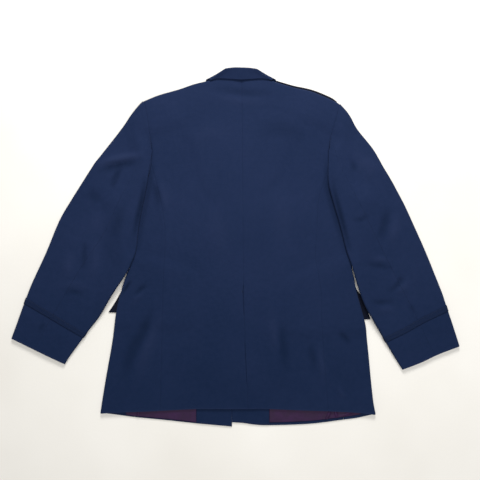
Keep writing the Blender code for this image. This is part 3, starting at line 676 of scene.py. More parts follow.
def cloth_piece(node, places, wall, finish, closed=False, creases=()):
    """An open grid bent to these places, with a wall of this thickness round its middle surface."""
    name = f"{node}_cloth"
    rows, columns = places.shape[:2]
    shape = bmesh.new()
    bmesh.ops.create_grid(shape, x_segments=columns - 1, y_segments=rows - 1, size=1)
    mesh = bpy.data.meshes.new(name)
    shape.to_mesh(mesh)
    mesh.vertices.foreach_set("co", (places.reshape(-1) * MM).astype(np.float32))
    corners = np.empty(len(mesh.loops), np.int32)
    mesh.loops.foreach_get("vertex_index", corners)
    layer = mesh.uv_layers.new(name="cloth")
    layer.data.foreach_set("uv", cloth_uv(places).reshape(-1, 2)[corners].reshape(-1).astype(np.float32))
    # wear on the lower edge, with painted highlight and shade on the creases, for the serge's material
    worn = mesh.attributes.new("worn", "FLOAT", "POINT")
    worn.data.foreach_set("value", painted_crease_shade_and_wear(places, creases).reshape(-1).astype(np.float32))
    if closed:
        shape.clear()
        shape.from_mesh(mesh)
        bmesh.ops.remove_doubles(shape, verts=shape.verts, dist=MERGE_DISTANCE)
        shape.to_mesh(mesh)
    shape.free()
    mesh.shade_smooth()
    piece = linked(name, mesh, finish)
    solidify = piece.modifiers.new("wall", "SOLIDIFY")
    solidify.thickness = wall * MM
    solidify.offset = 0
    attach(piece, BODY)
    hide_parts(node)
    flat, area = flat_size(places)


# Body panels

EDGE_SHARE = 0.025  # of the armhole, which the shoulder's fold takes up
FRONT_SHARE = 0.72  # of the front armhole that the front panel takes, the side panel having the rest
HEM_ROWS = np.array([0.004, 0.0025, 0.0012, 0.0])  # shares above the hem where rows lie closer
ARMHOLE_ROWS = (0, 0.0012, 0.0028, 0.005, 0.009)  # and below a sleeve's armhole
# Shares at which an edge is cut short, so that pieces that meet at its end stay clear of each other
SIDE_TOP_END = 0.97
SIDE_FOLD_START = 0.012
ARMHOLE_START = 0.01
ARMHOLE_END = 0.99
CUFF_SPAN = (0.02, 0.98)
LAPEL_SPAN = (0.06, 0.97)


def long_rows(count, armhole_share=None):
    """Shares down a panel, closer at the hem."""
    if armhole_share is None:
        return np.concatenate([np.linspace(0, 0.99, count), 1 - HEM_ROWS])
    early = np.linspace(0, armhole_share, max(int(count * armhole_share), 4))
    return np.concatenate([early, np.linspace(armhole_share, 0.99, count)[1:], 1 - HEM_ROWS])


def shoulder_top(side, neck, share):
    """The top of a body panel: its neck curve, then the shoulder, drawn back by the fold's radius."""
    return chain(side_edge(side, neck), side_edge(side, "shoulder", -FOLD_RADIUS), share)


def top_normals(top, share, across):
    """For each column its plan normal, and 1 where the panel turns to the shoulder seam."""
    ahead = top(np.minimum(across + TOP_TANGENT_STEP, 1)) - top(np.maximum(across - TOP_TANGENT_STEP, 0))
    ahead = ahead / np.linalg.norm(ahead, axis=-1, keepdims=True)
    normals = np.stack([-ahead[:, 1], ahead[:, 0]], axis=-1) * np.sign(ahead[:, :1])
    return normals, (across >= share).astype(float)


def vent_gap(y):
    """How far the vent's edges stand apart."""
    slack = VENT_SLACK * fade(np.abs(y - VENT_SLACK_Y), *VENT_SLACK_REACH)
    return VENT_OPENING * fade(np.abs(y - VENT_WIDEST), *VENT_REACH) + slack


def centre_edge(side):
    sign = SIDES[side]["sign"]
    line = curve(CENTRE_BACK)

    def at(t):
        point = line(t)
        opening = vent_gap(point[..., 1]) if side == "left" else np.zeros(point.shape[:-1])
        return point + np.stack([sign * (SEWN_GAP / 2 + opening), 0 * opening], axis=-1)

    return at


def softened(places, rows, depth):
    """Undoes part of a seam's dip down the right edge of the first rows, where an armhole is pressed."""
    reach = edge_distance(places, "right")
    places[..., 2] += (1 - depth) * SEAM_DIP * bell(reach, SEAM_DIP_WIDTH) * rows[:, None]
    return places


def back_places(side):
    neck_share, armhole_share, sleeve_share = 0.3, 0.24, 0.76
    top = shoulder_top(side, "back_neck", neck_share)
    underarm = part_of(side_edge(side, "underarm"), 0, share_of_point(SIDES[side]["underarm"], 1))
    armhole = chain(part_of(side_edge(side, "armhole"), EDGE_SHARE, 1), underarm, sleeve_share)
    side_line = chain(beside(armhole, -SEWN_GAP / 2, SIDES[side]["sign"]),
                      side_edge(side, "back_seam", -SEWN_GAP / 2), armhole_share)
    plan = patch(top, side_edge(side, "back_hem"), centre_edge(side), side_line)
    across = seam_spread(width=205, count=44)
    rows = long_rows(150, armhole_share)
    pressed = fade(rows, 0.5 * armhole_share, 0.75 * armhole_share)
    places = softened(seamed(grid(plan, rows, across, upper_height)), pressed, ARMHOLE_DEPTH[side])
    return rounded_top(places, *top_normals(top, neck_share, across), over=True)


def side_places(side):
    """Wraps from the side-back seam over the side fold to the seam under the front."""
    sign = SIDES[side]["sign"]
    seam_top = share_of_point(SIDES[side]["underarm"], 1)
    underarm = part_of(side_edge(side, "underarm", -ARMHOLE_GAP / 2), seam_top, SIDE_TOP_END)
    beneath = backwards(side_edge(side, "front_armhole", -ARMHOLE_GAP))
    beneath = part_of(beneath, ARMHOLE_START, 1 - FRONT_SHARE)
    fold = part_of(side_edge(side, "side"), SIDE_FOLD_START, 1)
    inside = beside(fold, -FOLD_RADIUS, sign)
    upper = patch(underarm, side_edge(side, "side_hem"), side_edge(side, "back_seam", SEWN_GAP / 2), inside)
    lower = patch(beneath, backwards(side_edge(side, "under_hem")), inside,
                  side_edge(side, "side_seam", SEAM_GAP))
    rows = long_rows(130)
    high = grid(upper, rows, one_seam(width=95, count=30), upper_height)
    low = grid(lower, rows, np.linspace(0, 1, 16), front_height)
    arc = fold_arc(high[:, -1], low[:, 0], outward(fold, rows, sign))
    return seamed(np.concatenate([high, arc, low], axis=1), right=0)


def front_places(side):
    neck_share, armhole_share, roll_share = 0.25, 0.24, 0.38
    top = shoulder_top(side, "neck", neck_share)
    armhole = part_of(side_edge(side, "front_armhole"), EDGE_SHARE / 2, FRONT_SHARE)
    side_line = chain(beside(armhole, -ARMHOLE_GAP, SIDES[side]["sign"]),
                      side_edge(side, "side_seam", -SEAM_GAP), armhole_share)
    front = chain(backwards(side_edge(side, "roll_line")), backwards(side_edge(side, "front_edge")),
                  roll_share)
    plan = patch(top, side_edge(side, "front_hem"), front, side_line)
    across = np.linspace(0, 1, 40)
    places = grid(plan, long_rows(110, armhole_share), across, front_height)
    return rounded_top(places, *top_normals(top, neck_share, across), over=False)


def vent_places():
    """The right back's vent extension, which passes under the left back."""
    line = curve(CENTRE_BACK)
    start = next(t for t in FINE_SHARES if line(t)[1] < VENT_TOP + VENT_TACK)
    vent = part_of(line, start, 1 - (1 - start) * VENT_SHORT)
    left = lambda t: vent(t) - np.array([VENT_LAP, 0])
    right = lambda t: vent(t) + np.array([VENT_SEWN, 0])
    drop = WALL / 2 + 2 * SEAM_GAP + UNDERLAP_WALL / 2
    return even_grid(ruled(left, right), lambda p: back_height(p) - drop, rows=80, columns=20)


def strip_places(side, span, wall, inset):
    """A strip of facing or lining inside the front, from just above the hem up under the back."""
    table = SIDES[side]
    hem = curve(table["front_hem"] + table["under_hem"][1:])
    order = np.argsort(hem(FINE_SHARES)[:, 0])

    def edge(reach):
        def at(v):
            x = span[0] + (span[1] - span[0]) * np.asarray(v, float)
            share = np.interp(x, hem(FINE_SHARES)[order, 0], FINE_SHARES[order])
            return hem(share) + np.array([0, reach])
        return at

    low, high = edge(inset), edge(STRIP_DEPTH)
    plan = patch(high, low, between(high(0), low(0)), between(high(1), low(1)))
    rise = WALL / 2 + SEAM_GAP + wall / 2
    folds = lambda p: np.maximum(relief(p, LINING_CREASES[side], LINING_RIPPLES), 0)
    return even_grid(plan, lambda p: front_height(p) + rise + folds(p), rows=40, columns=170)


# Sleeves


def seam_shares(rows):
    """Where the hind and fore seams lie across each row."""
    return (down(np.interp(rows, *zip(*table))) for table in (HIND_SEAM, FORE_SEAM))


def braid_lift(u):
    return BRAID_LIFT * fade(np.abs(u - np.mean(BRAID_ROWS)), *BRAID_DRAPE)


def sleeve_relief(side, points, u):
    """Creases of the sleeve itself, which die away at the armhole seam."""
    return relief(points, SLEEVE_CREASES[side], SLEEVE_RIPPLES) * (1 - fade(u, *SEAM_CREASES))


def sleeve_low(side, points, u, w):
    """Middle of the sleeve's lower wall: on the floor, or on the body where it lies over it."""
    body = distance_to(BODY_OUTLINE[side], points)
    on_body = upper_height(points) + WALL + RESTING_GAP
    held = fade(body, *LOW_DRAPE) * fade(w, UNDERARM_SHARE, UNDERARM_SHARE + STEP_DOWN_SHARE)
    on_floor = FLOOR_LAYER + shoulder_rise(points) + braid_lift(u)
    return on_floor + (on_body - on_floor) * held


def sleeve_high(side, points, u, q):
    """Middle of the sleeve's upper wall: level with the back at the seam, then over what lies beneath."""
    body = distance_to(BODY_OUTLINE[side], points)
    air = PRESSED_STEP + (LAYER_STEP - PRESSED_STEP) * (1 - fade(u, *SEAM_PRESSED))
    on_body = upper_height(points) + WALL + RESTING_GAP + air
    held = fade(body, *HIGH_DRAPE) * (1 - fade(u, *SEAM_LEVEL) * fade(q, *LEVEL_SHARES))
    on_floor = FLOOR_LAYER + LAYER_STEP + shoulder_rise(points) + braid_lift(u)
    on_floor = on_floor + (upper_height(points) - on_floor) * fade(u, *SEAM_HEIGHT)
    return on_floor + (on_body - on_floor) * held + sleeve_relief(side, points, u)


def sleeve_plans(side):
    outer = side_edge(side, "sleeve_outer", -FOLD_RADIUS)
    inner = side_edge(side, "sleeve_inner", FOLD_RADIUS)
    seam = part_of(side_edge(side, "armhole", SEWN_GAP / 2), EDGE_SHARE, 1)
    beneath = part_of(side_edge(side, "front_armhole", ARMHOLE_GAP / 2), EDGE_SHARE / 2, ARMHOLE_END)
    cuff = part_of(side_edge(side, "cuff"), *CUFF_SPAN)
    upper = patch(seam, cuff, drawn_to(outer, seam(0), cuff(0)), drawn_to(inner, seam(1), cuff(1)))
    low_seam = chain(side_edge(side, "underarm"), backwards(beneath), UNDERARM_SHARE)
    lower = patch(low_seam, backwards(cuff), drawn_to(inner, low_seam(0), cuff(1)),
                  drawn_to(outer, low_seam(1), cuff(0)))
    return upper, lower


def sleeve_layers(side, rows, high_shares, low_shares):
    """Places of the upper layer at shares from the outer edge, and of the lower one from the inner edge."""
    upper, lower = sleeve_plans(side)
    u = down(rows)
    high, low = upper(u, high_shares), lower(u, low_shares)
    return (raised(high, lambda p: sleeve_high(side, p, u, high_shares)),
            raised(low, lambda p: sleeve_low(side, p, u, low_shares)))


def sleeve_rows():
    """Shares down a sleeve, closer at the armhole and the cuff."""
    return np.concatenate([ARMHOLE_ROWS, np.linspace(0.015, 0.16, 34), np.linspace(0.16, 0.99, 110)[1:],
                           1 - HEM_ROWS])


def sleeve_normals(side, rows):
    """For each row, which way its outer fold faces and which way its inner one does."""
    outer, inner = (outward(side_edge(side, name), rows, SIDES[side]["sign"])
                    for name in ("sleeve_outer", "sleeve_inner"))
    return outer, -inner


def under_sleeve_places(side):
    rows = sleeve_rows()
    hind, fore = seam_shares(rows)
    high_shares = hind + SEAM_SHARE + (1 - hind - SEAM_SHARE) * one_seam(width=70, count=28)[None, :]
    high, low = sleeve_layers(side, rows, high_shares, (fore - SEAM_SHARE) * np.linspace(0, 1, 30)[None, :])
    arc = fold_arc(high[:, -1], low[:, 0], sleeve_normals(side, rows)[1])
    return seamed(np.concatenate([high, arc, low], axis=1), left=HIND_SEAM_DEPTH, right=0)


def top_sleeve_places(side):
    rows = sleeve_rows()
    hind, fore = seam_shares(rows)
    low_shares = fore + SEAM_SHARE + (1 - fore - SEAM_SHARE) * np.linspace(0, 1, 26)[None, :]
    high_shares = (hind - SEAM_SHARE) * (1 - one_seam(width=90, count=34)[None, :])
    high, low = sleeve_layers(side, rows, high_shares, low_shares)
    arc = fold_arc(high[:, -1], low[:, -1], sleeve_normals(side, rows)[0])
    return seamed(np.concatenate([high, arc, low[:, ::-1]], axis=1), left=HIND_SEAM_DEPTH, right=0)


def braid_places(side):
    """A flat braid right round the sleeve, above the cuff edge."""
    off = WALL / 2 + BRAID_GAP + BRAID_WALL / 2
    rows = np.linspace(*BRAID_ROWS, 8)
    shares = np.broadcast_to(np.linspace(0, 1, BRAID_COLUMNS)[None, :], (len(rows), BRAID_COLUMNS))
    high, low = sleeve_layers(side, rows, shares, shares)
    away, towards = sleeve_normals(side, rows)
    high, low = high + np.array([0, 0, off]), low - np.array([0, 0, off])
    turn_in = fold_arc(high[:, -1], low[:, 0], towards)
    turn_out = fold_arc(high[:, 0], low[:, -1], away)[:, ::-1]
    return np.concatenate([high, turn_in, low, turn_out, high[:, :1]], axis=1)


# Collar, straps, lapels and flaps


def collar_section(row, back):
    """A section's free edge, both sides of its roll, and its neck seam, with their heights."""
    free, roll, seam = np.array(row, float)
    if back:
        fall, stand = ROLL_HEIGHT, ROLL_HEIGHT - ROLL_DEPTH
        edge = FLOOR_LAYER + LAYER_STEP + TUCKED_LIFT + WALL + RESTING_GAP
        neck = back_height(seam)
    else:
        fall = edge = FLOOR_LAYER
        stand = neck = front_height(seam)
    corners = (*free, edge), (*roll, fall), (*roll, stand), (*seam, neck)
    return [np.array(corner) for corner in corners]


ROLL_ANGLES = np.radians((65, 32, 0, -32, -65))


def collar_row(free, fall, stand, seam, away):
    """Points of one section: up the fall, round the roll and down the stand."""
    middle = (fall + stand) / 2
    radius = np.linalg.norm(fall - stand) / 2
    up = (fall - stand) / (2 * radius)
    turn = [middle + radius * (math.cos(angle) * np.array([*away, 0]) + math.sin(angle) * up)
            for angle in ROLL_ANGLES]
    rise = [free + (fall - free) * t for t in np.linspace(0, 1, 9)]
    return np.array([*rise, *turn, *[stand + (seam - stand) * t for t in (0, 0.33, 0.66, 1)]])


def collar_fold(low, high, normal):
    """Sections round the fold at the side of the neck, between the last front and the first back one."""
    sections = []
    for angle in map(math.radians, COLLAR_FOLD_ANGLES):
        section = []
        for a, b, bulge in zip(low, high, COLLAR_BULGES):
            radius = (b[2] - a[2]) / 2
            point = a + (b - a) * (1 + math.sin(angle)) / 2
            point[:2] += bulge * radius * math.cos(angle) * normal
            point[2] = (a[2] + b[2]) / 2 + radius * math.sin(angle)
            section.append(point)
        sections.append(section)
    return sections


def collar_half(side):
    """Sections from a front end to the back, each with the plan direction its roll faces."""
    sign = SIDES[side]["sign"]
    fronts = [collar_section(row, back=False) for row in COLLAR[side]["front"]]
    backs = [collar_section(row, back=True) for row in COLLAR[side]["back"]]
    diagonal = backs[0][1][:2] - backs[0][0][:2]
    diagonal /= np.hypot(*diagonal)
    normal = sign * np.array([diagonal[1], -diagonal[0]])
    inward = np.array([-sign, COLLAR_LEAN]) / np.hypot(1, COLLAR_LEAN)
    up = np.array([0.0, 1.0])
    turning = (diagonal + up) / np.hypot(*(diagonal + up))
    sections = [(row, inward) for row in fronts]
    sections += [(row, diagonal) for row in collar_fold(fronts[-1], backs[0], normal)]
    sections += [(backs[0], turning)] + [(row, up) for row in backs[1:]]
    return [collar_row(*row, away) for row, away in sections]


def collar_places():
    middle = collar_row(*collar_section(COLLAR_MIDDLE, back=True), np.array([0.0, 1.0]))
    sections = np.array(collar_half("left") + [middle] + collar_half("right")[::-1])
    along = rounded(sections, 7)
    return rounded(along.swapaxes(0, 1), 3).swapaxes(0, 1)


def strap_places(side):
    """Pressed flat under the front's shoulder, its outer edge along the shoulder's fold."""
    outer = side_edge(side, "strap")
    slant = SIDES[side]["sign"] * STRAP_SLANT[side]
    inner = lambda t: outer(t) + np.stack([slant * (1 - t), 0 * t - STRAP_WIDTH], axis=-1)
    drop = WALL / 2 + SEAM_GAP + STRAP_WALL / 2
    height = lambda p: front_height(p) - STRAP_SAG * shoulder_rise(p) - drop
    return even_grid(ruled(outer, inner), height, rows=50, columns=20)


def lapel_places(side):
    """Turned out under the front, flat on the floor, from the break of the roll line to the notch."""
    fold = beside(part_of(side_edge(side, "roll_line"), *LAPEL_SPAN), LAPEL_GAP, SIDES[side]["sign"])
    return even_grid(ruled(backwards(fold), side_edge(side, "lapel")), floor_height, rows=50, columns=20)


def flap_places(side):
    """The lower pocket's flap, on the floor under the front, its rear edge past the side fold."""
    points = SIDES[side]["flap"]
    plan = ruled(curve(points[:4]), curve([points[5], points[4]]))
    return even_grid(plan, floor_height, rows=36, columns=50)


# Materials


BAND_PITCH = 0.444  # a diagonal wave texture of scale 1 repeats at this distance
STRAIGHT_PITCH = 0.314  # and a straight one at this
PLY_SCALE = 785.0  # of the waves that stand for the thread's plies
TROUGH_SHADE = 0.68  # of its colour that the wool keeps deep in a trough, as painted shade
PAINTED_LIGHT_HEIGHTS = (-0.30, 0.10)  # heights on the coat between which painted light makes its wool lighter towards the collar


class Finish:
    """A material that is being made: its shader, its two colours and the nodes that feed it."""

    def __init__(self, name, dark, light):
        material = bpy.data.materials.new(name)
        material.use_nodes = True
        self.tree = material.node_tree
        self.shader = self.tree.nodes["Principled BSDF"]
        self.colours = {"A": (*dark, 1), "B": (*light, 1)}
        self.place = self.node("ShaderNodeTexCoord").outputs["Object"]

    def feed(self, made, inputs):
        """Sets a node's inputs to the values given, or links them to the sockets given."""
        for name, value in inputs.items():
            if isinstance(value, bpy.types.NodeSocket):
                self.tree.links.new(value, made.inputs[name])
            else:
                made.inputs[name].default_value = value

    def node(self, kind, inputs=None, **settings):
        made = self.tree.nodes.new(kind)
        for name, value in settings.items():
            setattr(made, name, value)
        self.feed(made, inputs or {})
        return made

    def shade(self, **inputs):
        """Feeds the shader; an input's name is written with underscores."""
        self.feed(self.shader, {name.replace("_", " "): value for name, value in inputs.items()})

    def tint(self, factor):
        """A mix of the two colours by a factor socket."""
        mix = self.node("ShaderNodeMix", {"Factor": factor, **self.colours}, data_type="RGBA")
        return mix.outputs["Result"]

    def ramp(self, factor, low, high, bottom=0.0, top=1.0):
        return self.node("ShaderNodeMapRange", {"Value": factor, "From Min": low, "From Max": high,
                                                "To Min": bottom, "To Max": top}).outputs["Result"]

    def maths(self, operation, first, second):
        return self.node("ShaderNodeMath", {0: first, 1: second}, operation=operation).outputs["Value"]

    def blend(self, *parts):
        """The sum of some sockets, each times its share."""
        total = None
        for socket, share in parts:
            if share != 1:
                socket = self.maths("MULTIPLY", socket, share)
            total = socket if total is None else self.maths("ADD", total, socket)
        return total

    def patchy(self, scale, detail=3.0, roughness=0.55):
        return self.node("ShaderNodeTexNoise", {"Vector": self.place, "Scale": scale, "Detail": detail,
                                                "Roughness": roughness}).outputs["Fac"]

    def waves(self, scale, direction, distortion, inputs=None):
        """Bands along the cloth, whose place on it its own UV map gives."""
        weave = self.node("ShaderNodeUVMap", uv_map="cloth").outputs["UV"]
        given = {"Vector": weave, "Scale": scale, "Distortion": distortion, **(inputs or {})}
        return self.node("ShaderNodeTexWave", given, bands_direction=direction).outputs["Fac"]

    def bump(self, height, distance, strength, under=None):
        inputs = {"Height": height, "Distance": distance, "Strength": strength}
        if under is not None:
            inputs["Normal"] = under
        normal = self.node("ShaderNodeBump", inputs).outputs["Normal"]
        self.shade(Normal=normal)
        return normal


def serge(cloth, twill_pitch):
    """Navy wool: fine rib, mottling nap, lighter worn edges, painted light towards the collar, painted
    crease light and shade.
    """
    rib = cloth.waves(BAND_PITCH / twill_pitch, "DIAGONAL", 0.6, {"Detail": 1.0, "Detail Scale": 0.4})
    yarn = cloth.waves(STRAIGHT_PITCH / (0.7 * twill_pitch), "X", 1.2)
    worn = cloth.node("ShaderNodeAttribute", attribute_name="worn").outputs["Fac"]
    height = cloth.node("ShaderNodeSeparateXYZ", {"Vector": cloth.place}).outputs["Y"]
    wide, nap, fleck = cloth.patchy(7.0, 2.0), cloth.patchy(330.0, 3.0, 0.7), cloth.patchy(95.0, 3.0, 0.6)
    # tone: painted light towards the collar (y), random mottle, and the wear and painted crease light
    # attribute
    tone = cloth.blend((cloth.ramp(height, *PAINTED_LIGHT_HEIGHTS), 0.45), (cloth.ramp(wide, 0.36, 0.64), 0.20),
                       (cloth.ramp(fleck, 0.35, 0.65), 0.18), (cloth.ramp(nap, 0.35, 0.65), 0.17),
                       (worn, 0.6))
    # painted shade: the serge's colour darkened deep in the crease troughs
    painted_trough_shade = cloth.ramp(worn, -1.0, 0.0, TROUGH_SHADE, 1.0)
    shaded = cloth.node("ShaderNodeVectorMath", {"Vector": cloth.tint(tone), "Scale": painted_trough_shade},
                        operation="SCALE")
    under = cloth.bump(cloth.patchy(46.0, 3.0, 0.6), 0.0011, 0.8)
    cloth.bump(cloth.blend((rib, 0.6), (yarn, 0.25), (nap, 0.6)), 0.00016, 0.75, under)
    cloth.shade(Base_Color=shaded.outputs["Vector"], Specular_IOR_Level=0.16, Sheen_Weight=0.06,
                Roughness=cloth.ramp(cloth.blend((nap, 1), (worn, -0.3)), 0.2, 0.8, 0.74, 0.92),
                Sheen_Roughness=0.5, Sheen_Tint=(0.45, 0.58, 1.0, 1))


def flat_braid(braid, rib_pitch):
    """Flat braid: ribs across its width, with a soft gloss on each."""
    rib = braid.waves(STRAIGHT_PITCH / rib_pitch, "X", 0.2)
    cross = braid.waves(STRAIGHT_PITCH / (rib_pitch * 0.45), "Y", 0.4)
    lint = braid.patchy(260.0)
    braid.shade(Base_Color=braid.tint(braid.blend((rib, 0.6), (braid.ramp(lint, 0.3, 0.7), 0.4))),
                Roughness=braid.ramp(lint, 0.3, 0.7, 0.55, 0.75), Specular_IOR_Level=0.14)
    braid.bump(braid.blend((rib, 1), (cross, 0.4)), 0.00022, 0.9)


def satin(lining, rib_pitch):
    """Plum satin: fine floats along the cloth and long soft puckers in its gloss."""
    floats = lining.waves(STRAIGHT_PITCH / rib_pitch, "X", 1.5)
    pucker = lining.patchy(60.0, 2.0)
    lining.shade(Base_Color=lining.tint(lining.blend((lining.ramp(pucker, 0.3, 0.7), 0.7), (floats, 0.3))),
                 Roughness=lining.ramp(pucker, 0.3, 0.7, 0.45, 0.62), Specular_IOR_Level=0.16)
    lining.bump(floats, 0.00006, 0.6, lining.bump(pucker, 0.0009, 0.7))


def sewing_thread(thread):
    ply = thread.node("ShaderNodeTexWave", {"Vector": thread.place, "Scale": PLY_SCALE},
                      bands_direction="DIAGONAL").outputs["Fac"]
    thread.shade(Base_Color=thread.tint(ply), Roughness=0.6, Specular_IOR_Level=0.3)
    thread.bump(ply, 0.00008, 0.6)


def button_metal(metal):
    """Plain brushed button metal, with patches of tarnish."""
    stretched = metal.node("ShaderNodeMapping", {"Vector": metal.place, "Scale": (900.0, 60.0, 200.0)})
    brushed = metal.node("ShaderNodeTexNoise", {"Vector": stretched.outputs["Vector"], "Scale": 1.0})
    brushed = brushed.outputs["Fac"]
    tarnish = metal.patchy(160.0, 4.0)
    metal.shade(Base_Color=metal.tint(metal.ramp(tarnish, 0.35, 0.6)), Metallic=1.0,
                Roughness=metal.ramp(metal.blend((brushed, 1), (tarnish, 1)), 0.6, 1.4, 0.26, 0.48))
    metal.bump(brushed, 0.00003, 0.5)


def matt_surface(surface):
    """The pale matt surface, slightly uneven."""
    slow, grain = surface.patchy(2.2), surface.patchy(240.0, 2.0)
    tone = surface.blend((surface.ramp(slow, 0.35, 0.65), 0.75), (grain, 0.25))
    surface.shade(Base_Color=surface.tint(tone), Roughness=0.9, Specular_IOR_Level=0.1)
    surface.bump(grain, 0.0002, 0.4)


# For each finish, its maker, its two colours and the pitch of its weave
FINISHES = {
    "navy_serge": (serge, "cloth", "twill_pitch"),
    # a darker serge as painted shade, for the flaps and straps that lie in the shadow of the body
    "flap_lining": (serge, "flap", "twill_pitch"),
    "ribbed_braid": (flat_braid, "braid", "braid_pitch"),
    "plum_satin": (satin, "lining", "lining_pitch"),
    "sewing_thread": (sewing_thread, "thread"),
    "brushed_metal": (button_metal, "metal"),
    "pale_surface": (matt_surface, "floor"),
}


def finish_named(name):
    """The finish of this name, made when it is first asked for."""
    if name not in bpy.data.materials:
        colours = bpy.context.scene.jacket_colours
        make, kind, *pitches = FINISHES[name]
        finish = Finish(name, getattr(colours, f"{kind}_dark"), getattr(colours, f"{kind}_light"))
        make(finish, *[getattr(colours, pitch) for pitch in pitches])
    return bpy.data.materials[name]


# Buttons and stitches

BUTTON_PROFILE = [(0, 0.0), (3.5, 0.12), (6.4, 0.5), (8.6, 1.2), (9.7, 1.85), (10.0, 2.2), (9.8, 2.45),
                  (9.2, 2.5), (8.7, 2.42), (5.0, 2.6), (2.0, 2.62), (1.5, 2.75), (1.4, 3.1), (0, 3.2)]
STITCH_PITCH = 3.0
STITCH_THICKNESS = 0.42
STITCH_RISE = 0.05  # of a stitch's middle above the cloth
STITCH_INSET = 6.0  # from the edge of a flap or lapel
BRAID_EDGE = 0.15  # of the braid's width, from its edge to its stitches
TACK_STITCHES = 6
TACK_INSET = 1  # from the centre seam
TACK_LENGTH = 9.0
TACK_PITCH = 0.7
TACK_DROP = 6.0  # from the vent's top to the first row of its tack
TACK_RISE = 0.1
BUTTONHOLE_LENGTH = 20.0
BUTTONHOLE_INSET = 15.0
BUTTONHOLE_PITCH = 0.8
BUTTONHOLE_SLIT = 0.3  # from its middle to where the stitches start
BUTTONHOLE_STITCH = 2.4


def turned_button(name, x, y, finish):
    """A plain domed button, dome down on the surface, with its shank above."""
    shape = bmesh.new()
    profile = [shape.verts.new(Vector((x + radius, y, height)) * MM) for radius, height in BUTTON_PROFILE]
    edges = [shape.edges.new(pair) for pair in zip(profile, profile[1:])]
    bmesh.ops.spin(shape, geom=profile + edges, cent=(x * MM, y * MM, 0), axis=(0, 0, 1), dvec=(0, 0, 0),
                   angle=math.tau, steps=48, use_merge=True)
    bmesh.ops.remove_doubles(shape, verts=shape.verts, dist=MERGE_DISTANCE)
    bmesh.ops.recalc_face_normals(shape, faces=shape.faces)
    return shaped(name, shape, finish)


def stitches(name, runs):
    """Every stitch of some runs in one mesh; a run is a list of (start, end) points in millimetres."""
    shape = bmesh.new()
    for start, end in runs:
        along = Vector(end) - Vector(start)
        turn = along.to_track_quat("X", "Z").to_matrix().to_4x4()
        size = Matrix.Diagonal((along.length / 2, STITCH_THICKNESS / 2, STITCH_THICKNESS / 2, 1 / MM))
        place = Matrix.Translation((Vector(start) + Vector(end)) / 2 * MM) @ turn @ size * MM
        place[3][3] = 1
        bmesh.ops.create_icosphere(shape, subdivisions=1, radius=1, matrix=place)
    piece = shaped(name, shape, "sewing_thread")
    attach(piece, BODY)


def stitch_run(line, wall):
    """Stitches along a line of 3-D points in the middle of a wall, lying on its upper face."""
    lengths = edge_distance(line[None], "left")[0]
    count = max(int(lengths[-1] / STITCH_PITCH), 1)
    stitch = bpy.context.scene.jacket_sizes.stitch_length / MM
    starts = (np.arange(count) + 0.5) * lengths[-1] / count - stitch / 2
    ends = [read_at(reach, lengths, line) + np.array([0, 0, wall / 2 + STITCH_RISE])
            for reach in (starts, starts + stitch)]
    return list(zip(*[points.tolist() for points in ends]))


def inset_line(places, inset):
    """The line on a panel that runs this far inside its first column's edge."""
    lengths = edge_distance(places, "left")
    return np.array([read_at(inset, *row) for row in zip(lengths, places)])


def bar_tack():
    """Close stitches across the top of the vent."""
    x, y = curve(CENTRE_BACK)(share_of_point(CENTRE_BACK, 3))
    ends = []
    for step in range(TACK_STITCHES):
        row = y - TACK_DROP - step * TACK_PITCH
        low, high = np.array([x - TACK_INSET - TACK_LENGTH, row]), np.array([x - TACK_INSET, row])
        height = float(upper_height((low + high) / 2)) + WALL / 2 + TACK_RISE
        ends.append(((*low, height), (*high, height)))
    return ends


def buttonhole(y):
    """Short stitches on both sides of a slit, on the left front's outer face."""
    edge = SIDES["left"]["front_edge"][0][0] - BUTTONHOLE_INSET
    pairs = []
    for x in np.arange(edge - BUTTONHOLE_LENGTH, edge, BUTTONHOLE_PITCH):
        height = float(front_height(np.array([x, y]))) - WALL / 2 - STITCH_RISE
        for out in (-1, 1):
            pairs.append(((x, y + BUTTONHOLE_SLIT * out, height), (x, y + BUTTONHOLE_STITCH * out, height)))
    return pairs


# Stage


def floor_sheet():
    shape = bmesh.new()
    bmesh.ops.create_grid(shape, x_segments=8, y_segments=8, size=FLOOR_SIZE / 2)
    bmesh.ops.translate(shape, verts=shape.verts, vec=(0, 0, -FLOOR_GAP))
    return shaped("surface", shape, "pale_surface")


def soft_light(sizes):
    scene = bpy.context.scene
    world = bpy.data.worlds.new("even_light")
    world.use_nodes = True
    background = world.node_tree.nodes["Background"]
    background.inputs["Color"].default_value = (*LIGHT_COLOUR, 1)
    background.inputs["Strength"].default_value = sizes.sky
    scene.world = world
    for name, place, size, share in LAMPS:
        lamp = bpy.data.lights.new(name, "AREA")
        lamp.shape = "RECTANGLE"
        lamp.size, lamp.size_y = size
        lamp.energy = sizes.lamp_power * share
        lamp.color = LIGHT_COLOUR
        holder = bpy.data.objects.new(name, lamp)
        holder.location = place
        holder.rotation_euler = (-Vector(place)).to_track_quat("-Z", "Y").to_euler()
        scene.collection.objects.link(holder)
    scene.view_settings.view_transform = "Standard"


def overhead_camera(sizes):
    camera = bpy.data.cameras.new("overhead")
    camera.sensor_width = SENSOR
    camera.lens = SENSOR * (sizes.camera_height - CLOTH_LEVEL) / sizes.view_width
    camera.clip_start = 0.01
    holder = bpy.data.objects.new("overhead", camera)
    holder.location = (*FRAME_MIDDLE, sizes.camera_height)
    bpy.context.scene.collection.objects.link(holder)
    bpy.context.scene.camera = holder


# Settings


def colour(name, text, default):
    return FloatVectorProperty(name=name, description=text, subtype="COLOR", size=3, min=0, max=1,
                               default=default)


def amount(name, text, default, low, high, unit="NONE"):
    return FloatProperty(name=name, description=text, default=default, min=low, max=high, precision=4,
                         unit=unit)


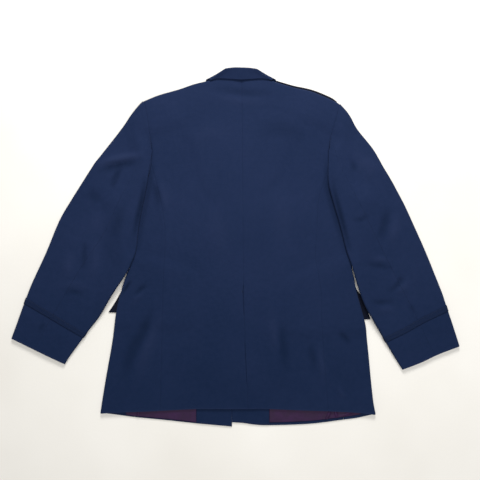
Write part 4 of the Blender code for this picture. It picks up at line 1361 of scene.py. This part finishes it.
class JacketColours(bpy.types.PropertyGroup):
    """Colours of the jacket's finishes and the scale of their weaves."""

    # the serge's tone between these two mixes random mottle, painted light towards the collar, painted
    # crease light and shade, and worn edges
    cloth_dark: colour("Cloth, dark", "Serge in the shade of its nap", (0.0012, 0.0102, 0.0415))
    cloth_light: colour("Cloth, light", "Serge where the nap catches the light", (0.0078, 0.0180, 0.0610))
    # flap colours: serge darkened as painted shade, for the pocket flaps and shoulder straps under the
    # body's edge
    flap_dark: colour("Flap lining, dark", "Dark twill inside the pocket flaps", (0.0006, 0.0020, 0.0085))
    flap_light: colour("Flap lining, light", "The same where it catches the light", (0.0018, 0.0040, 0.016))
    braid_dark: colour("Braid, dark", "Between the braid's ribs", (0.0008, 0.0080, 0.034))
    braid_light: colour("Braid, light", "On the braid's ribs", (0.0040, 0.0130, 0.048))
    lining_dark: colour("Lining, dark", "Satin in shade", (0.017, 0.0055, 0.027))
    lining_light: colour("Lining, light", "Satin where it shines", (0.036, 0.0125, 0.054))
    thread_dark: colour("Thread, dark", "Between the thread's plies", (0.004, 0.007, 0.022))
    thread_light: colour("Thread, light", "On the thread's plies", (0.016, 0.026, 0.070))
    metal_dark: colour("Button, tarnished", "Metal in its low places", (0.30, 0.30, 0.31))
    metal_light: colour("Button, bright", "Rubbed metal", (0.62, 0.62, 0.64))
    floor_dark: colour("Surface, dark", "Pale surface at its darkest", (0.80, 0.785, 0.745))
    floor_light: colour("Surface, light", "Pale surface at its lightest", (0.88, 0.87, 0.84))
    twill_pitch: amount("Twill pitch", "Distance between the serge's ribs", 0.0011, 0.0003, 0.01, "LENGTH")
    braid_pitch: amount("Braid pitch", "Distance between the braid's ribs", 0.0014, 0.0003, 0.01, "LENGTH")
    lining_pitch: amount("Satin pitch", "Distance between its floats", 0.0006, 0.0002, 0.01, "LENGTH")


class JacketSizes(bpy.types.PropertyGroup):
    """How deep the creases are, how long a stitch is, and how the stage is lit and seen."""

    crease_depth: amount("Crease depth", "Depth of the creases, as a share of their tables", 1.5, 0.0, 2.0)
    stitch_length: amount("Stitch length", "Length of an edge stitch", 0.0021, 0.001, 0.006, "LENGTH")
    camera_height: amount("Camera height", "Its distance above the surface", 1.306, 0.5, 5.0, "LENGTH")
    view_width: amount("View width", "Width in view at the jacket's level", 1.1136, 0.5, 5.0, "LENGTH")
    lamp_power: amount("Lamp power", "Power of both soft lamps together", 62.0, 0.0, 1000.0, "POWER")
    sky: amount("Room light", "Strength of the even light from all round", 0.30, 0.0, 5.0)


# One operator for each piece or group of like pieces


class PieceOperator:
    bl_options = {"REGISTER", "UNDO"}

    def execute(self, context):
        self.make()
        return {"FINISHED"}


def serge_pair(kind, places_of, wall=WALL, finish="navy_serge", creases=None):
    """The same serge piece on both sides, with the creases of its own side."""
    for side in SIDES:
        cloth_piece(f"{kind}_{side}", places_of(side), wall, finish,
                    creases=creases[side] if creases else ())


class JACKET_OT_backs(PieceOperator, bpy.types.Operator):
    """Both halves of the back, with the centre seam between them"""

    bl_idname = "jacket.backs"
    bl_label = "Backs"

    def make(self):
        serge_pair("back", back_places,
                   creases=dict.fromkeys(SIDES, BODY_CREASES))


class JACKET_OT_sides(PieceOperator, bpy.types.Operator):
    """Side bodies, each folded over from the back to the front"""

    bl_idname = "jacket.sides"
    bl_label = "Side bodies"

    def make(self):
        serge_pair("side", side_places,
                   creases=dict.fromkeys(SIDES, BODY_CREASES))


class JACKET_OT_fronts(PieceOperator, bpy.types.Operator):
    """Both fronts, face down"""

    bl_idname = "jacket.fronts"
    bl_label = "Fronts"

    def make(self):
        serge_pair("front", front_places)


class JACKET_OT_lapels(PieceOperator, bpy.types.Operator):
    """Lapels, turned out under the fronts"""

    bl_idname = "jacket.lapels"
    bl_label = "Lapels"

    def make(self):
        serge_pair("lapel", lapel_places)


class JACKET_OT_flaps(PieceOperator, bpy.types.Operator):
    """Flaps of the lower pockets, whose corners show past the side folds"""

    bl_idname = "jacket.flaps"
    bl_label = "Pocket flaps"

    def make(self):
        # serge darkened as painted shade, where the flap lies in the shadow of the body's edge
        serge_pair("pocket_flap", flap_places, finish="flap_lining")


class JACKET_OT_straps(PieceOperator, bpy.types.Operator):
    """Shoulder straps, pressed under the shoulders"""

    bl_idname = "jacket.straps"
    bl_label = "Shoulder straps"

    def make(self):
        # serge darkened as painted shade, for the strip that shows in the shadow below the back's shoulder
        serge_pair("shoulder_strap", strap_places, STRAP_WALL, "flap_lining")


class JACKET_OT_sleeves(PieceOperator, bpy.types.Operator):
    """Top sleeves and under sleeves, sewn into the armholes and lying out beside the body"""

    bl_idname = "jacket.sleeves"
    bl_label = "Sleeves"

    def make(self):
        serge_pair("top_sleeve", top_sleeve_places, creases=SLEEVE_CREASES)
        serge_pair("under_sleeve", under_sleeve_places,
                   creases=SLEEVE_CREASES)


class JACKET_OT_braids(PieceOperator, bpy.types.Operator):
    """A narrow flat braid round each sleeve"""

    bl_idname = "jacket.braids"
    bl_label = "Cuff braids"

    def make(self):
        for side in SIDES:
            cloth_piece(f"sleeve_braid_{side}", braid_places(side), BRAID_WALL, "ribbed_braid",
                        closed=True)


class JACKET_OT_hems(PieceOperator, bpy.types.Operator):
    """Facings and lining that show inside the fronts below the back's hem"""

    bl_idname = "jacket.hems"
    bl_label = "Facings and lining"

    def make(self):
        for side, table in SIDES.items():
            for kind, slot, finish, inset in (("facing", "serge", "navy_serge", FACING_INSET),
                                              ("lining", "lining", "plum_satin", table["hem_turn"])):
                places = strip_places(side, table[kind], LINING_WALL, inset)
                cloth_piece(f"{kind}_{side}", places, LINING_WALL, finish)


class JACKET_OT_vent(PieceOperator, bpy.types.Operator):
    """The vent's extension, under the left back"""

    bl_idname = "jacket.vent"
    bl_label = "Vent"

    def make(self):
        cloth_piece("vent_underlap", vent_places(), UNDERLAP_WALL, "navy_serge")


class JACKET_OT_collar(PieceOperator, bpy.types.Operator):
    """The turned collar, with its roll at the back of the neck"""

    bl_idname = "jacket.collar"
    bl_label = "Collar"

    def make(self):
        cloth_piece("collar", collar_places(), WALL, "navy_serge")


class JACKET_OT_buttons(PieceOperator, bpy.types.Operator):
    """Plain domed buttons down the right front"""

    bl_idname = "jacket.buttons"
    bl_label = "Front buttons"

    def make(self):
        for number, y in enumerate(BUTTON_ROWS, 1):
            piece = turned_button(f"front_button_{number}_metal", BUTTON_X, y, "brushed_metal")
            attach(piece, BODY)
            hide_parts(f"front_button_{number}")


class JACKET_OT_stitches(PieceOperator, bpy.types.Operator):
    """Edge stitching on braids, flaps and lapels, the vent's bar tack and the worked buttonholes"""

    bl_idname = "jacket.stitches"
    bl_label = "Stitching"

    def make(self):
        for side in SIDES:
            first, *_, last = braid_places(side)[:, :BRAID_COLUMNS]
            edges = [first * (1 - share) + last * share for share in (BRAID_EDGE, 1 - BRAID_EDGE)]
            runs = sum((stitch_run(line, BRAID_WALL) for line in edges), [])
            stitches(f"braid_stitches_{side}", runs)
            flap = inset_line(flap_places(side), STITCH_INSET)
            lapel = inset_line(lapel_places(side)[:, ::-1], STITCH_INSET)
            stitches(f"flap_stitches_{side}", stitch_run(flap, WALL))
            stitches(f"lapel_stitches_{side}", stitch_run(lapel, WALL))
        stitches("vent_tack", bar_tack())
        stitches("buttonholes", [pair for y in BUTTON_ROWS for pair in buttonhole(y)])


class JACKET_OT_stage(PieceOperator, bpy.types.Operator):
    """The pale surface, the soft light and the camera straight above"""

    bl_idname = "jacket.stage"
    bl_label = "Stage"

    def make(self):
        sizes = bpy.context.scene.jacket_sizes
        floor_sheet()
        soft_light(sizes)
        overhead_camera(sizes)


PIECE_OPERATORS = (JACKET_OT_backs, JACKET_OT_sides, JACKET_OT_fronts, JACKET_OT_lapels, JACKET_OT_flaps,
                   JACKET_OT_straps, JACKET_OT_sleeves, JACKET_OT_braids, JACKET_OT_hems, JACKET_OT_vent,
                   JACKET_OT_collar, JACKET_OT_buttons, JACKET_OT_stitches, JACKET_OT_stage)


class JACKET_PT_panel(bpy.types.Panel):
    """The jacket's pieces, sizes and colours"""

    bl_idname = "JACKET_PT_panel"
    bl_label = "Laid service jacket"
    bl_space_type = "VIEW_3D"
    bl_region_type = "UI"
    bl_category = "Jacket"

    def draw(self, context):
        for kind in PIECE_OPERATORS:
            self.layout.operator(kind.bl_idname)
        for group in (context.scene.jacket_sizes, context.scene.jacket_colours):
            box = self.layout.box()
            for name in group.__annotations__:
                box.prop(group, name)


CLASSES = (JacketColours, JacketSizes, *PIECE_OPERATORS, JACKET_PT_panel)


def register():
    for kind in CLASSES:
        bpy.utils.register_class(kind)
    bpy.types.Scene.jacket_colours = PointerProperty(type=JacketColours)
    bpy.types.Scene.jacket_sizes = PointerProperty(type=JacketSizes)


def unregister():
    del bpy.types.Scene.jacket_colours
    del bpy.types.Scene.jacket_sizes
    for kind in reversed(CLASSES):
        bpy.utils.unregister_class(kind)


def main():
    register()
    for kind in PIECE_OPERATORS:
        group, name = kind.bl_idname.split(".")
        getattr(getattr(bpy.ops, group), name)()


if __name__ == "__main__":
    main()
